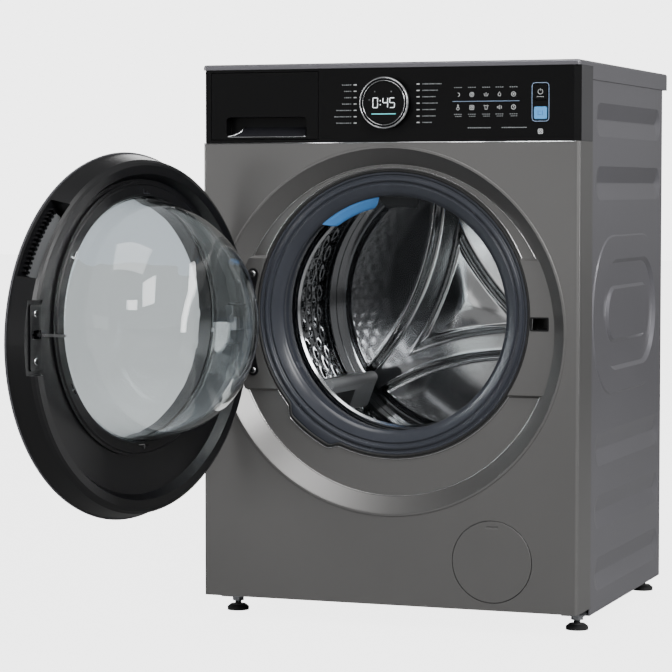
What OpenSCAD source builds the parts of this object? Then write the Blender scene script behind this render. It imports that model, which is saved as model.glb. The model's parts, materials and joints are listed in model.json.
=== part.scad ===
// Front load washing machine with its door standing open.
// Millimetres. The origin is on the floor at the middle of the footprint, +Z is up and
// the front faces -Y. Inside at_front() y is counted back from the plane of the front panel.

/* [Cabinet] */
// Width over the side panels
body_w = 595; // [560:1:640]
// Height from the floor to the top of the worktop
body_h = 850; // [830:1:900]
// Depth from the front panel to the rear edge of the worktop
body_d = 560; // [540:1:620]
// Thickness of the steel sheets
sheet_t = 1.5; // [1:0.1:2.5]
// Height of the front panel's lower edge
front_bottom = 34; // [28:1:44]
// Height of the control panel's lower edge
panel_z = 731; // [725:1:740]
// Height of the side panels' lower edge
side_bottom = 22; // [18:1:28]
// How far the front panel wraps round the sides
wrap_d = 75; // [60:1:90]
// How far the worktop stands out behind the cabinet
lid_overhang = 28; // [20:1:40]
// Height of the worktop's skirt
lid_h = 27; // [22:1:34]
// Thickness of the worktop above the control panel
lid_top_t = 8; // [6:1:12]
// Radius of the front panel's upright corners
corner_r = 5; // [3:1:8]

/* [Door opening] */
// Height of the centre of the door and of its recess
door_z = 447; // [440:1:452]
// Radius of the recess at the front panel
recess_r = 274; // [272:1:280]
// Radius of the recess at its floor
recess_floor_r = 250; // [246:1:254]
// Depth of the recess
recess_d = 25; // [22:1:30]
// Height of the centre of the drum and of the porthole
drum_z = 473; // [468:1:478]
// Radius of the porthole in the recess floor
port_r = 211; // [206:1:214]
// How far the pads for hinge and lock stand up from the recess floor
pad_h = 5; // [3:1:7]

/* [Door] */
// Radius of the door's outer rim
door_r = 267; // [262:1:268]
// Radius of the inner frame's flat face
door_face_r = 252; // [246:1:256]
// How far the rim stands in front of the front panel
rim_out = 43; // [40:1:48]
// How far the inner frame's face stays in front of the front panel
face_out = 4.5; // [3:0.5:8]
// Radius of the glass bowl at its flange
bowl_r = 177; // [170:1:180]
// Depth of the glass bowl
bowl_depth = 130; // [100:1:134]
// Thickness of the glass
glass_t = 5; // [4:0.5:7]
// Angle at which the door stands open
door_open = 103.8; // [0:0.1:120]
// Distance of the hinge pin from the middle of the machine
hinge_x = 237; // [234:1:242]
// How far the hinge pin stands in front of the front panel
hinge_out = 23; // [20:1:26]
// Radius of the hinge pin
hinge_pin_r = 4; // [3:0.5:5]

/* [Drum and tub] */
// Inner radius of the drum
drum_r = 236; // [225:1:240]
// Radius of the drum's mouth
mouth_r = 175; // [165:1:180]
// Distance from the front panel to the drum's mouth
drum_front = 92; // [90:1:100]
// Distance from the front panel to the drum's back wall
drum_back_y = 425; // [400:1:430]
// Outer radius of the tub
tub_r = 262; // [258:1:270]
// Wall of the tub
tub_wall = 4; // [3:0.5:6]
// Width of a lifter at its foot
lifter_w = 62; // [50:1:80]
// Height of a lifter
lifter_h = 52; // [40:1:70]
// Radius of the drum shaft in the front bearing
shaft_r = 15; // [12:0.5:18]

/* [Control panel] */
// Radius of the dial
dial_r = 39; // [34:1:44]
// How far the dial stands out
dial_out = 15; // [10:1:20]
// Height of the dial's centre
dial_z = 789; // [785:1:795]
// Thickness of the black front
fascia_t = 3; // [2.5:0.5:5]
// Width of the detergent drawer's front
drawer_w = 174; // [150:1:200]
// Length of the drawer's tray
drawer_l = 240; // [200:1:280]

/* [Feet] */
// Radius of a foot's pad
foot_r = 17; // [14:1:24]
// Radius of a foot's stud
stud_r = 5; // [4:0.5:6]
// Distance of the front feet from the front panel
foot_front_y = 83; // [60:1:100]
// Distance of the rear feet from the worktop's rear edge
foot_rear_in = 60; // [50:1:90]

/* [Hidden] */
$fn = 96;

// Colours
graphite = [0.36, 0.36, 0.37];
side_grey = [0.40, 0.40, 0.42];
black = [0.06, 0.06, 0.07];
dark = [0.13, 0.13, 0.14];
steel = [0.75, 0.76, 0.78];
zinc = [0.62, 0.63, 0.65];
white = [0.88, 0.88, 0.87];
rubber = [0.35, 0.37, 0.40];
glass = [0.75, 0.85, 0.88, 0.35];

half_w = body_w / 2;
front_y = -body_d / 2;
lid_z = body_h - lid_h;
bezel_top = body_h - lid_top_t;
side_rear = body_d - lid_overhang - 2;
pad_y = recess_d - pad_h;
bead_y = recess_d + sheet_t;
drawer_x0 = -half_w + 14;
drawer_x1 = drawer_x0 + drawer_w;
slip = 0.3;
eps = 0.01;

// Turns a shape that stands along Z so that it stands along +Y from y0
module along_y(y0) {
    translate([0, y0, 0]) rotate([-90, 0, 0]) children();
}

module y_disc(r, y0, y1) {
    along_y(y0) cylinder(h = y1 - y0, r = r);
}

module y_ring(ro, ri, y0, y1) {
    difference() {
        y_disc(ro, y0, y1);
        y_disc(ri, y0 - 1, y1 + 1);
    }
}

// Turns an outline of [radius, y] points round the Y axis. Angles run from +X towards +Z.
module y_turn(points, start = 0, sweep = 360) {
    rotate([90, 0, 0]) rotate([0, 0, start]) rotate_extrude(angle = sweep)
        polygon([for (p = points) [p[0], -p[1]]]);
}

module at_front() {
    translate([0, front_y, 0]) children();
}

// A box given by its lowest and highest corners
module span(a, b) {
    translate(a) cube(b - a);
}

// A flat rectangle with round corners, centred
module round_rect(w, h, r) {
    square([w - 2 * r, h], center = true);
    square([w, h - 2 * r], center = true);
    for (sx = [-1, 1], sz = [-1, 1]) translate([sx * (w / 2 - r), sz * (h / 2 - r)]) circle(r);
}

// A round-cornered plate that faces the front, from y0 to y1
module y_plate(cx, cz, w, h, r, y0, y1) {
    translate([cx, y1, cz]) rotate([90, 0, 0]) linear_extrude(y1 - y0) round_rect(w, h, r);
}

// A pan-head screw that points along +Y, with its head's underside at y
module screw(x, y, z, r = 2, l = 10) {
    translate([x, y, z]) {
        y_disc(r * 1.9, -r, 0);
        y_disc(r, -eps, l);
    }
}

// ---------------------------------------------------------------- cabinet

// Flat outline of a front wrap with round corners, seen from above
module wrap_outline(w, d, r) {
    translate([-w / 2, r]) square([w, d - r]);
    translate([-w / 2 + r, 0]) square([w - 2 * r, d]);
    for (s = [-1, 1]) translate([s * (w / 2 - r), r]) circle(r);
}

// The porthole with the bump for the circulation jet at its lower left
module port_cut(y0, y1) {
    translate([0, 0, drum_z]) {
        y_disc(port_r, y0, y1);
        y_turn([[port_r - 4, y0], [port_r + bump_out, y0], [port_r + bump_out, y1], [port_r - 4, y1]],
            bump_start, bump_sweep);
    }
}

bump_out = 15;
bump_start = 224;
bump_sweep = 20;
lock_x = 232;
lock_z = 461;
filter_x = 166;
filter_z = 107;
filter_r = 61;
hinge_z = 457;
hinge_screw_x = -223;
hinge_screw_dz = 74;
lock_shift = 5;
pad_top = 560;
pad_bottom = 350;

module recess_pads() {
    pad_clear = 7;
    difference() {
        intersection() {
            translate([0, 0, door_z]) y_turn([[0, pad_y],
                [recess_floor_r + pad_h * (recess_r - recess_floor_r) / recess_d + 0.4, pad_y],
                [recess_floor_r + 0.4, recess_d + 0.2], [0, recess_d + 0.2]]);
            translate([-half_w, 0, 0]) rotate([90, 0, 90]) linear_extrude(body_w)
                polygon([[pad_y, pad_bottom + pad_h], [recess_d + 1, pad_bottom],
                    [recess_d + 1, pad_top], [pad_y, pad_top - pad_h]]);
        }
        translate([0, 0, drum_z]) y_disc(port_r + pad_clear, 0, recess_d + 1);
    }
}

module front_panel() color(graphite) at_front() {
    bead = 1.2;
    hem = 14;
    low_hem = 5;
    difference() {
        union() {
            difference() {
                translate([0, 0, front_bottom]) linear_extrude(panel_z - front_bottom)
                    wrap_outline(body_w, wrap_d, corner_r);
                translate([0, 0, front_bottom + sheet_t])
                    linear_extrude(panel_z - front_bottom - 2 * sheet_t) translate([0, sheet_t])
                        wrap_outline(body_w - 2 * sheet_t, wrap_d, corner_r - sheet_t);
                span([-half_w + hem, hem, 0], [half_w - hem, wrap_d + 1, body_h]);
                span([-half_w + low_hem, hem, 0], [half_w - low_hem, wrap_d + 1, front_bottom + 2 * sheet_t]);
                translate([0, 0, door_z]) y_disc(recess_r, -1, sheet_t + 1);
            }
            translate([0, 0, door_z]) y_turn([[recess_r, 0], [recess_floor_r, recess_d],
                [port_r - 40, recess_d], [port_r - 40, bead_y], [recess_floor_r + 1, bead_y],
                [recess_r + 3, sheet_t],
                [recess_r + 5, sheet_t], [recess_r + 5, 0], [recess_r + 4, -bead], [recess_r + 1, -bead]]);
            recess_pads();
        }
        port_cut(recess_d - 1, bead_y + 1);
        translate([0, 0, filter_z]) translate([filter_x, 0, 0]) y_disc(filter_r + 1, -1, sheet_t + 1);
        y_plate(lock_x, lock_z, 29, 21, 2, pad_y - 1, bead_y + 1);
        for (s = [-1, 1]) translate([hinge_screw_x, 0, hinge_z + s * hinge_screw_dz])
            y_disc(2.7, pad_y - 1, bead_y + 1);
    }
}

// A stadium-shaped block whose walls slope, from plane x0 out to plane x1
module stadium(y0, y1, z0, z1, x0, x1, slope) {
    r = (z1 - z0) / 2;
    zc = (z1 + z0) / 2;
    h = x1 - x0;
    for (y = [y0 + r, y1 - r]) translate([x0, y, zc]) rotate([0, 90, 0])
        cylinder(h = h, r1 = r, r2 = r - slope);
    translate([0, y1 - r, zc]) rotate([90, 0, 0]) linear_extrude(y1 - y0 - 2 * r)
        polygon([[x0, -r], [x0, r], [x1, r - slope], [x1, -r + slope]]);
}

// Everything inward of the pressed side sheet's surface, shifted by dx
module side_body(dx) {
    plateau = 1.5;
    press_d = 5;
    skin = half_w - plateau;
    slot_h = 51;
    press_margin = 25;
    y0 = wrap_d + press_margin;
    y1 = side_rear - 15;
    translate([dx, 0, 0]) difference() {
        union() {
            span([half_w - 30, wrap_d + slip, side_bottom], [skin, side_rear, lid_z - slip]);
            stadium(y0 - 20, y1, 344, 592, skin - 1, half_w, 4);
        }
        difference() {
            mirror([1, 0, 0]) stadium(y0 + 40, y1 - 31, 382, 553, -half_w - 0.1, -half_w + press_d, 6);
            stadium(y0 + 76, y1 - 64, 424, 513, half_w - press_d - 1, skin + 0.3, 6);
        }
        for (z = [53, 147, 242, 644, 739]) mirror([1, 0, 0])
            stadium(y0, y1, z, z + slot_h, -skin - eps, -skin + press_d, slot_h / 2 - 1);
    }
}

module side_panel() {
    hem = 11;
    difference() {
        side_body(0);
        side_body(-sheet_t);
    }
    span([half_w - hem, side_rear - sheet_t, side_bottom],
        [half_w - 1.5 - sheet_t / 2, side_rear, lid_z - slip]);
    span([half_w - hem - 6, wrap_d + slip, side_bottom],
        [half_w - 1.5 - sheet_t / 2, side_rear, side_bottom + sheet_t]);
}

module side_panel_left() color(side_grey) at_front() mirror([1, 0, 0]) side_panel();

module side_panel_right() color(side_grey) at_front() side_panel();

rear_y0 = side_rear;
rear_y1 = side_rear + sheet_t;
inlet_x = drawer_x1 - 20;
inlet_z = 788;
drain_x = filter_x - 44;
drain_z = filter_z;
gland_x = half_w - 72.5;
gland_z = 770;
cover_z = drum_z - 20;
cover_w = 360;
cover_h = 420;
transit_x = 222;
transit_dz = 165;

// The service cover's screws: three up each side
module cover_screws() {
    for (sx = [-1, 1], sz = [-1, 0, 1])
        translate([sx * (cover_w / 2 - 7), 0, cover_z + sz * (cover_h / 2 - 30)]) children();
}

module rear_panel() color(side_grey) at_front() {
    difference() {
        span([-half_w + 4, rear_y0, side_bottom + 4], [half_w - 4, rear_y1, lid_z - 1]);
        y_plate(0, cover_z, cover_w - 30, cover_h - 30, 40, rear_y0 - 1, rear_y1 + 1);
        translate([inlet_x, 0, inlet_z]) y_disc(15, rear_y0 - 1, rear_y1 + 1);
        translate([drain_x, 0, drain_z]) y_disc(13, rear_y0 - 1, rear_y1 + 1);
        translate([gland_x, 0, gland_z]) y_disc(10, rear_y0 - 1, rear_y1 + 1);
        for (sx = [-1, 1], sz = [-1, 1]) translate([sx * transit_x, 0, cover_z + sz * transit_dz])
            y_disc(12, rear_y0 - 1, rear_y1 + 1);
        cover_screws() y_disc(2.2, rear_y0 - 1, rear_y1 + 1);
    }
}

module service_cover() color(side_grey) at_front() {
    difference() {
        union() {
            y_plate(0, cover_z, cover_w, cover_h, 50, rear_y1, rear_y1 + sheet_t);
            y_plate(0, cover_z, cover_w - 60, cover_h - 60, 40, rear_y1, rear_y1 + 6);
        }
        y_plate(0, cover_z, cover_w - 64, cover_h - 64, 38, rear_y1 - 1, rear_y1 + 6 - sheet_t);
        cover_screws() y_disc(2.2, rear_y0 - 1, rear_y1 + sheet_t + 1);
    }
    cover_screws() translate([0, rear_y1 + sheet_t, 0]) rotate([0, 0, 180]) screw(0, 0, 0, 2, 6);
}

module rear_plugs() color(black) at_front() {
    for (sx = [-1, 1], sz = [-1, 1]) translate([sx * transit_x, 0, cover_z + sz * transit_dz]) {
        y_disc(17, rear_y1, rear_y1 + 3);
        y_ring(11.7, 8, rear_y1 - 14, rear_y1 + eps);
    }
    translate([gland_x, 0, gland_z]) difference() {
        union() {
            y_disc(9.6, rear_y0 - 8, rear_y1 + eps);
            y_disc(13, rear_y1, rear_y1 + 5);
        }
        y_disc(4, rear_y0 - 9, rear_y1 + 6);
    }
}

// A slab with a soft top edge: round top edges and corners of radius r
module soft_slab(w, d, h, r) {
    translate([-w / 2 + r, r, 0]) cube([w - 2 * r, d - 2 * r, h]);
    translate([-w / 2, r, 0]) cube([w, d - 2 * r, h - r]);
    translate([-w / 2 + r, 0, 0]) cube([w - 2 * r, d, h - r]);
    for (sx = [-1, 1], y = [r, d - r]) translate([sx * (w / 2 - r), y, 0]) {
        cylinder(h = h - r, r = r);
        translate([0, 0, h - r]) sphere(r);
    }
    for (sx = [-1, 1]) translate([sx * (w / 2 - r), r, h - r]) rotate([-90, 0, 0])
        cylinder(h = d - 2 * r, r = r);
    for (y = [r, d - r]) translate([-w / 2 + r, y, h - r]) rotate([0, 90, 0])
        cylinder(h = w - 2 * r, r = r);
}

lid_wall = 2.5;
skin_t = 5;
core_t = 15;

module worktop() {
    edge_r = 4;
    color(side_grey) at_front() difference() {
        translate([0, 0, lid_z]) soft_slab(body_w, body_d, lid_h, edge_r);
        span([-half_w - 1, -1, lid_z - 1], [half_w + 1, wrap_d, bezel_top]);
        span([-half_w + lid_wall, wrap_d - 1, lid_z - 1],
            [half_w - lid_wall, body_d - lid_wall, body_h - skin_t]);
    }
    color([0.72, 0.6, 0.42]) at_front()
        span([-half_w + lid_wall + slip, wrap_d + 1, body_h - skin_t - core_t],
            [half_w - lid_wall - slip, body_d - lid_wall - slip, body_h - skin_t - slip]);
}

crossbar_y = 315;

module top_crossbar() color(zinc) at_front() {
    bar_h = 18;
    bar_w = 28;
    difference() {
        span([-half_w + 6, crossbar_y - bar_w / 2, lid_z - 4 - bar_h],
            [half_w - 6, crossbar_y + bar_w / 2, lid_z - 4]);
        span([-half_w + 5, crossbar_y - bar_w / 2 + 2, lid_z - 4 - bar_h + 2],
            [half_w - 5, crossbar_y + bar_w / 2 - 2, lid_z]);
        for (s = [-1, 1]) translate([s * spring_x, crossbar_y, 0]) cylinder(h = body_h, r = 3);
    }
}

// ---------------------------------------------------------------- base and feet

tray_z = 26;
hem_clear = 14;
boss_h = 10;
boss_r = 16;
foot_x = half_w - 22.5;
foot_rear_y = body_d - foot_rear_in;
pump_r = 40;
pad_t = 9;
stud_l = 44;
nut_h = 7;

module foot_places() {
    for (s = [-1, 1], y = [foot_front_y, foot_rear_y]) translate([s * foot_x, y, 0]) children();
}

module base_tray() color(dark) at_front() {
    wall = 3;
    tray_h = 34;
    pump_stand = 26;
    tray_half = half_w - 6;
    floor_z = tray_z + boss_h;
    back = side_rear - 3;
    difference() {
        span([-tray_half, sheet_t + hem_clear, floor_z], [tray_half, back, tray_z + tray_h]);
        span([-tray_half + wall, sheet_t + hem_clear + wall, floor_z + wall],
            [tray_half - wall, back - wall, tray_z + tray_h + 1]);
        foot_places() cylinder(h = 60, r = stud_r + 1);
    }
    foot_places() difference() {
        translate([0, 0, tray_z]) cylinder(h = boss_h + eps, r = boss_r);
        cylinder(h = 60, r = stud_r + 1);
    }
    span([filter_x - pump_stand, 60, floor_z + wall - eps],
        [filter_x + pump_stand, 120, filter_z - pump_r - slip]);
}

module foot_brackets() color(zinc) at_front() {
    foot_places() {
        difference() {
            translate([-17, -28, side_bottom + sheet_t]) cube([34, 56, tray_z - side_bottom - sheet_t]);
            cylinder(h = 60, r = stud_r + 0.3);
        }
        translate([0, 0, side_bottom - nut_h - slip]) difference() {
            cylinder(h = nut_h, r = 9.5, $fn = 6);
            translate([0, 0, -1]) cylinder(h = nut_h + 2, r = stud_r + 0.1);
        }
    }
}

module foot(s, y) {
    at_front() translate([s * foot_x, y, 0]) {
        color(black) cylinder(h = 5, r = foot_r);
        color(black) translate([0, 0, 5]) cylinder(h = pad_t - 5, r1 = foot_r, r2 = foot_r - 5);
        color(zinc) translate([0, 0, pad_t - eps]) cylinder(h = stud_l, r = stud_r);
    }
}

module foot_front_left() foot(-1, foot_front_y);
module foot_front_right() foot(1, foot_front_y);
module foot_rear_left() foot(-1, foot_rear_y);
module foot_rear_right() foot(1, foot_rear_y);

// ---------------------------------------------------------------- control panel

chamfer_x = 8.5;
chamfer_y = 10;
drawer_z0 = panel_z + 5;
drawer_z1 = bezel_top - 5;
key_x = half_w - 59.5;
power_z = 802;
start_z = 772;
key_w = 19.5;
power_h = 22;
start_h = 18;
front_gap = 0.8;
panel_h = bezel_top - panel_z;

// A cut right through the control panel's front for every part that comes through it
module panel_cuts(y0, y1) {
    span([drawer_x0 - front_gap, y0, drawer_z0 - front_gap],
        [drawer_x1 + front_gap, y1, drawer_z1 + front_gap]);
    translate([0, 0, dial_z]) y_disc(dial_r - 2, y0, y1);
    y_plate(key_x, power_z, key_w + 2 * front_gap, power_h + 2 * front_gap, 3, y0, y1);
    y_plate(key_x, start_z, key_w + 2 * front_gap, start_h + 2 * front_gap, 3, y0, y1);
}

module fascia() color(black) at_front() {
    difference() {
        translate([0, 0, panel_z + slip]) linear_extrude(panel_h - 2 * slip)
            polygon([[-half_w, chamfer_y], [-half_w + chamfer_x, 0], [half_w - chamfer_x, 0],
                [half_w, chamfer_y], [half_w - fascia_t, chamfer_y],
                [half_w - chamfer_x - 1.5, fascia_t], [-half_w + chamfer_x + 1.5, fascia_t],
                [-half_w + fascia_t, chamfer_y]]);
        panel_cuts(-1, chamfer_y + 1);
    }
}

module control_bezel() color(graphite) at_front() {
    wall = 3;
    y0 = fascia_t + 0.1;
    difference() {
        translate([0, 0, panel_z + slip]) linear_extrude(panel_h - 2 * slip)
            polygon([[-half_w, chamfer_y + slip], [-half_w + wall + 0.6, chamfer_y + slip],
                [-half_w + chamfer_x + 2, y0], [half_w - chamfer_x - 2, y0],
                [half_w - wall - 0.6, chamfer_y + slip], [half_w, chamfer_y + slip],
                [half_w, wrap_d], [-half_w, wrap_d]]);
        span([-half_w + wall, y0 + wall + 5, panel_z + wall], [half_w - wall, wrap_d + 1, bezel_top - wall]);
        span([-half_w + 14, y0 + wall, panel_z + wall], [half_w - 14, wrap_d + 1, bezel_top - wall]);
        panel_cuts(-1, 30);
        translate([0, 0, dial_z]) y_disc(dial_r - 2, 0, 30);
    }
}

module dial_face() color(black) at_front() translate([0, 0, dial_z]) {
    y_disc(dial_r - 8, -dial_out + 1, -dial_out + 4);
    y_disc(dial_r - 12, -dial_out + 3.9, 13.8);
}

module dial_ring() color(steel) at_front() translate([0, 0, dial_z]) {
    y_turn([[dial_r - 7.5, -dial_out + 1], [dial_r - 6.5, -dial_out], [dial_r - 2.5, -dial_out],
        [dial_r, -dial_out + 3], [dial_r, -0.6], [dial_r - 2.6, -0.6], [dial_r - 2.6, 9],
        [dial_r - 7.5, 9]]);
}

module key(z, h) {
    y_plate(key_x, z, key_w, h, 2.4, -0.8, 6.6);
    y_plate(key_x, z, key_w + 3, h + 3, 2, 6.4, 8);
}

module power_button() color(black) at_front() key(power_z, power_h);
module start_button() color([0.37, 0.7, 0.96]) at_front() key(start_z, start_h);

module control_board() color([0.1, 0.3, 0.15]) at_front() {
    span([-60, 14, panel_z + 12], [half_w - 12, 15.6, bezel_top - 8]);
    span([-20, 15.6, panel_z + 20], [60, 36, panel_z + 60]);
    span([100, 15.6, panel_z + 20], [180, 30, panel_z + 70]);
}

// ---------------------------------------------------------------- detergent drawer

grip_w = 131;
grip_h = 31.5;
grip_x = (drawer_x0 + drawer_x1) / 2 + 3;
grip_z = panel_z + 23;
grip_d = 20;
tray_wall = 2;

module drawer_front() color(black) at_front() {
    difference() {
        union() {
            span([drawer_x0, 0, drawer_z0], [drawer_x1, fascia_t + 1, drawer_z1]);
            y_plate(grip_x, grip_z, grip_w + 4, grip_h + 3, 7, 1, grip_d + 2);
            span([drawer_x0 + 8, 3, drawer_z0 + 6], [drawer_x1 - 8, 7, drawer_z1 - 6]);
        }
        y_plate(grip_x, grip_z, grip_w, grip_h, 6, -1, grip_d);
    }
}

module drawer_trim() color(steel) at_front() {
    difference() {
        y_plate(grip_x, grip_z, grip_w - 0.2, grip_h - 0.2, 5.9, -1.2, 3);
        y_plate(grip_x, grip_z + 2, grip_w - 3.4, grip_h + 0.6, 4.6, -3, 5);
        span([drawer_x0, -3, grip_z + 4], [drawer_x1, 5, drawer_z1]);
    }
}

tray_x0 = drawer_x0 + 8;
tray_x1 = drawer_x1 - 8;
tray_y0 = grip_d + 2.2;
tray_y1 = tray_y0 + drawer_l;
tray_z0 = drawer_z0 + 8;
tray_z1 = drawer_z1 - 14;
split_x = tray_x0 + 55;
split_y = tray_y0 + 110;

module drawer_tray() {
    color(white) at_front() difference() {
        union() {
            span([tray_x0, tray_y0, tray_z0], [tray_x1, tray_y1, tray_z1]);
            span([tray_x0 + 6, 7.1, tray_z0 + 30], [tray_x1 - 6, tray_y0 + 1, tray_z1 - 4]);
        }
        span([tray_x0 + tray_wall, tray_y0 + 2, tray_z0 + tray_wall],
            [split_x - tray_wall, split_y, tray_z1 + 1]);
        span([tray_x0 + tray_wall, split_y + tray_wall, tray_z0 + tray_wall],
            [split_x - tray_wall, tray_y1 - tray_wall, tray_z1 + 1]);
        span([split_x, tray_y0 + 2, tray_z0 + tray_wall],
            [tray_x1 - tray_wall, tray_y1 - tray_wall, tray_z1 + 1]);
        span([tray_x0 + 10, 9, tray_z0 + 33], [tray_x1 - 10, tray_y0 - 1, tray_z1 + 1]);
    }
    // lift-out siphon cap of the softener compartment
    color([0.35, 0.6, 0.85]) at_front() translate([(tray_x0 + split_x) / 2, tray_y1 - 28, 0]) {
        translate([0, 0, tray_z0 + tray_wall + slip]) cylinder(h = tray_z1 - tray_z0 - 14, r = 7);
        translate([-22, -22, tray_z1 - 11]) cube([44, 44, 3]);
    }
}

module dispenser_housing() color(white) at_front() {
    gap = 2;
    wall = 2;
    y0 = grip_d + 4;
    top = tray_z1 + gap + wall;
    difference() {
        span([tray_x0 - gap - wall, y0, tray_z0 - gap - wall], [tray_x1 + gap + wall, tray_y1 + 8, top]);
        span([tray_x0 - gap, y0 - 1, tray_z0 - gap], [tray_x1 + gap, tray_y1 + 4, top - wall]);
        translate([inlet_x, 0, inlet_z]) y_disc(6, tray_y1, tray_y1 + 10);
    }
}

module inlet_valve() color(white) at_front() translate([inlet_x, 0, inlet_z]) {
    difference() {
        union() {
            y_disc(13.2, rear_y0 - 2, rear_y1 + 18);
            span([-22, rear_y0 - 34, -20], [22, rear_y0 - 1, 20]);
            y_disc(7, rear_y0 - 50, rear_y0 - 33);
        }
        y_disc(9, rear_y0 - 10, rear_y1 + 19);
    }
}

module fill_hose() color(black) at_front() translate([inlet_x, 0, inlet_z]) {
    difference() {
        y_disc(9.5, tray_y1 + 8.1, rear_y0 - 36);
        y_disc(7.1, tray_y1 + 7, rear_y0 - 35);
    }
}

// ---------------------------------------------------------------- drain

module filter_cover() color(graphite) at_front() translate([filter_x, 0, filter_z]) {
    difference() {
        y_disc(filter_r, -0.6, 1.6);
        span([-9, -2, filter_r - 11], [9, 0.6, filter_r - 8]);
    }
    for (a = [90, 210, 330]) rotate([0, -a, 0]) translate([filter_r - 8, 1.5, -6]) cube([2, 7, 12]);
}

module filter_cap() color(black) at_front() translate([filter_x, 0, filter_z]) {
    y_disc(30, 14, 20);
    y_disc(24, 20, 34);
    y_plate(0, 0, 44, 9, 4, 9, 14.1);
}

pump_neck_h = 26;
pump_neck_y = 90;
pump_neck_out = 20;

module drain_pump() color(dark) at_front() translate([filter_x, 0, filter_z]) {
    difference() {
        union() {
            y_disc(pump_r, 20.3, 130);
            translate([drain_x - filter_x, 0, 0]) y_disc(9, 104, rear_y0 - 42);
            translate([-pump_neck_out, pump_neck_y, pump_r - 6]) cylinder(h = pump_neck_h + 4, r = 16);
        }
        y_disc(24.4, 20, 100);
    }
    y_disc(31, 130.1, 176);
}

sump_x = filter_x - pump_neck_out;
sump_top = drum_z - sqrt(pow(tub_r, 2) - pow(sump_x - 18, 2)) - 1;

module sump_hose() color(black) at_front() {
    z0 = filter_z + pump_r - 2 + pump_neck_h + slip;
    translate([sump_x, pump_neck_y, z0]) difference() {
        cylinder(h = sump_top - z0, r = 18);
        translate([0, 0, -1]) cylinder(h = 200, r = 14);
    }
}

module drain_outlet() color(black) at_front() translate([drain_x, 0, drain_z]) {
    difference() {
        union() {
            y_disc(9, rear_y0 - 40, rear_y1 + 4);
            y_disc(9.5, rear_y1 + 2.9, rear_y1 + 20);
            y_disc(12.5, rear_y0 - 4, rear_y1 + 1);
            y_disc(16, rear_y1, rear_y1 + 3);
        }
        y_disc(7, rear_y0 - 41, rear_y1 + 21);
    }
}

// ---------------------------------------------------------------- tub

tub_y0 = 77;
tub_split = 235;
tub_back = 452;
lip_r = 206;
housing_r = 46;
seat_r1 = 31;
seat_r2 = 26;
seal_r = 27;
bearing_y1 = tub_back + 6;
bearing_y2 = bearing_y1 + 30;
spring_x = 222;
damper_y = 300;
heater_r = drum_r + 11;
heater_half = 4;

// The heater's two rods, under the drum
module heater_rods() {
    for (s = [-1, 1]) rotate([0, -270 - s * heater_half, 0]) translate([heater_r, 0, 0]) children();
}

module tub_front() color([0.8, 0.8, 0.78]) at_front() translate([0, 0, drum_z]) {
    y_turn([[lip_r - 3, tub_y0 - 16], [lip_r, tub_y0 - 16], [lip_r, tub_y0], [tub_r, tub_y0],
        [tub_r, tub_split - 6], [tub_r + 8, tub_split - 6], [tub_r + 8, tub_split - slip / 2],
        [tub_r - tub_wall, tub_split - slip / 2],
        [tub_r - tub_wall, tub_y0 + tub_wall], [lip_r - 3, tub_y0 + tub_wall]]);
}

module tub_rear() color([0.8, 0.8, 0.78]) at_front() {
    rim = 8;
    translate([0, 0, drum_z]) difference() {
        union() {
            y_turn([[tub_r - tub_wall, tub_split + slip / 2], [tub_r + rim, tub_split + slip / 2],
                [tub_r + rim, tub_split + 6], [tub_r, tub_split + 6], [tub_r, tub_back + tub_wall],
                [housing_r, tub_back + tub_wall], [housing_r, bearing_y2 + 18], [0, bearing_y2 + 18],
                [0, tub_back], [tub_r - tub_wall, tub_back]]);
            for (k = [0:5]) rotate([0, -k * 60, 0])
                span([housing_r - 2, tub_back + tub_wall - 1, -2.5],
                    [tub_r - 8, tub_back + tub_wall + 4, 2.5]);
            for (s = [-1, 1])
                span([s * spring_x - 4, crossbar_y - 14, 140], [s * spring_x + 4, crossbar_y + 14, 172]);
        }
        y_disc(shaft_r + 4, tub_back - 1, bearing_y2 + 20);
        y_disc(seal_r, tub_back - 1, bearing_y1);
        y_disc(seat_r1, bearing_y1 - eps, bearing_y1 + 16);
        y_disc(seat_r2, bearing_y2, bearing_y2 + 19);
        heater_rods() y_disc(5, tub_back - 1, tub_back + 20);
    }
    for (s = [-1, 1]) translate([s * damper_x1, damper_y, damper_z1]) difference() {
        translate([-s * 2 - 6, -12, -6]) cube([12, 24, 40]);
        rotate([90, 0, 0]) translate([0, 0, -15]) cylinder(h = 30, r = 4.2);
        translate([-30, -9, -30]) cube([60, 18, 45]);
    }
}

module counterweights() color([0.45, 0.44, 0.43]) at_front() translate([0, 0, drum_z]) {
    r0 = port_r + 11;
    r1 = panel_z - drum_z - 10;
    y0 = 34;
    for (a = [35, 215]) y_turn([[r0, y0], [r1, y0], [r1, tub_y0 - slip], [r0, tub_y0 - slip]], a, 110);
}

module heater() color(steel) at_front() translate([0, 0, drum_z]) {
    rod_r = 3.6;
    front = 150;
    spread = heater_r * sin(heater_half);
    heater_rods() y_disc(rod_r, front, tub_back + 14);
    translate([-spread, front + rod_r + 1, -heater_r * cos(heater_half)]) rotate([0, 90, 0])
        cylinder(h = 2 * spread, r = rod_r - 0.4);
}

spring_z0 = drum_z + 158;

module tub_springs() color(zinc) at_front() {
    for (s = [-1, 1]) translate([s * spring_x, crossbar_y, 0]) {
        translate([0, 0, spring_z0 + 16]) cylinder(h = lid_z - 44 - spring_z0, r = 10);
        translate([0, 0, spring_z0 + 15]) cylinder(h = lid_z - 10 - spring_z0 - 15, r = 2.4);
    }
}

damper_x1 = 158;
damper_z1 = drum_z - 243;
damper_x2 = 214;
damper_z2 = tray_z + 52;

module damper_run(s) {
    dx = s * (damper_x2 - damper_x1);
    dz = damper_z2 - damper_z1;
    translate([s * damper_x1, damper_y, damper_z1]) rotate([0, 90 + atan2(-dz, dx), 0]) children();
}

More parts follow.
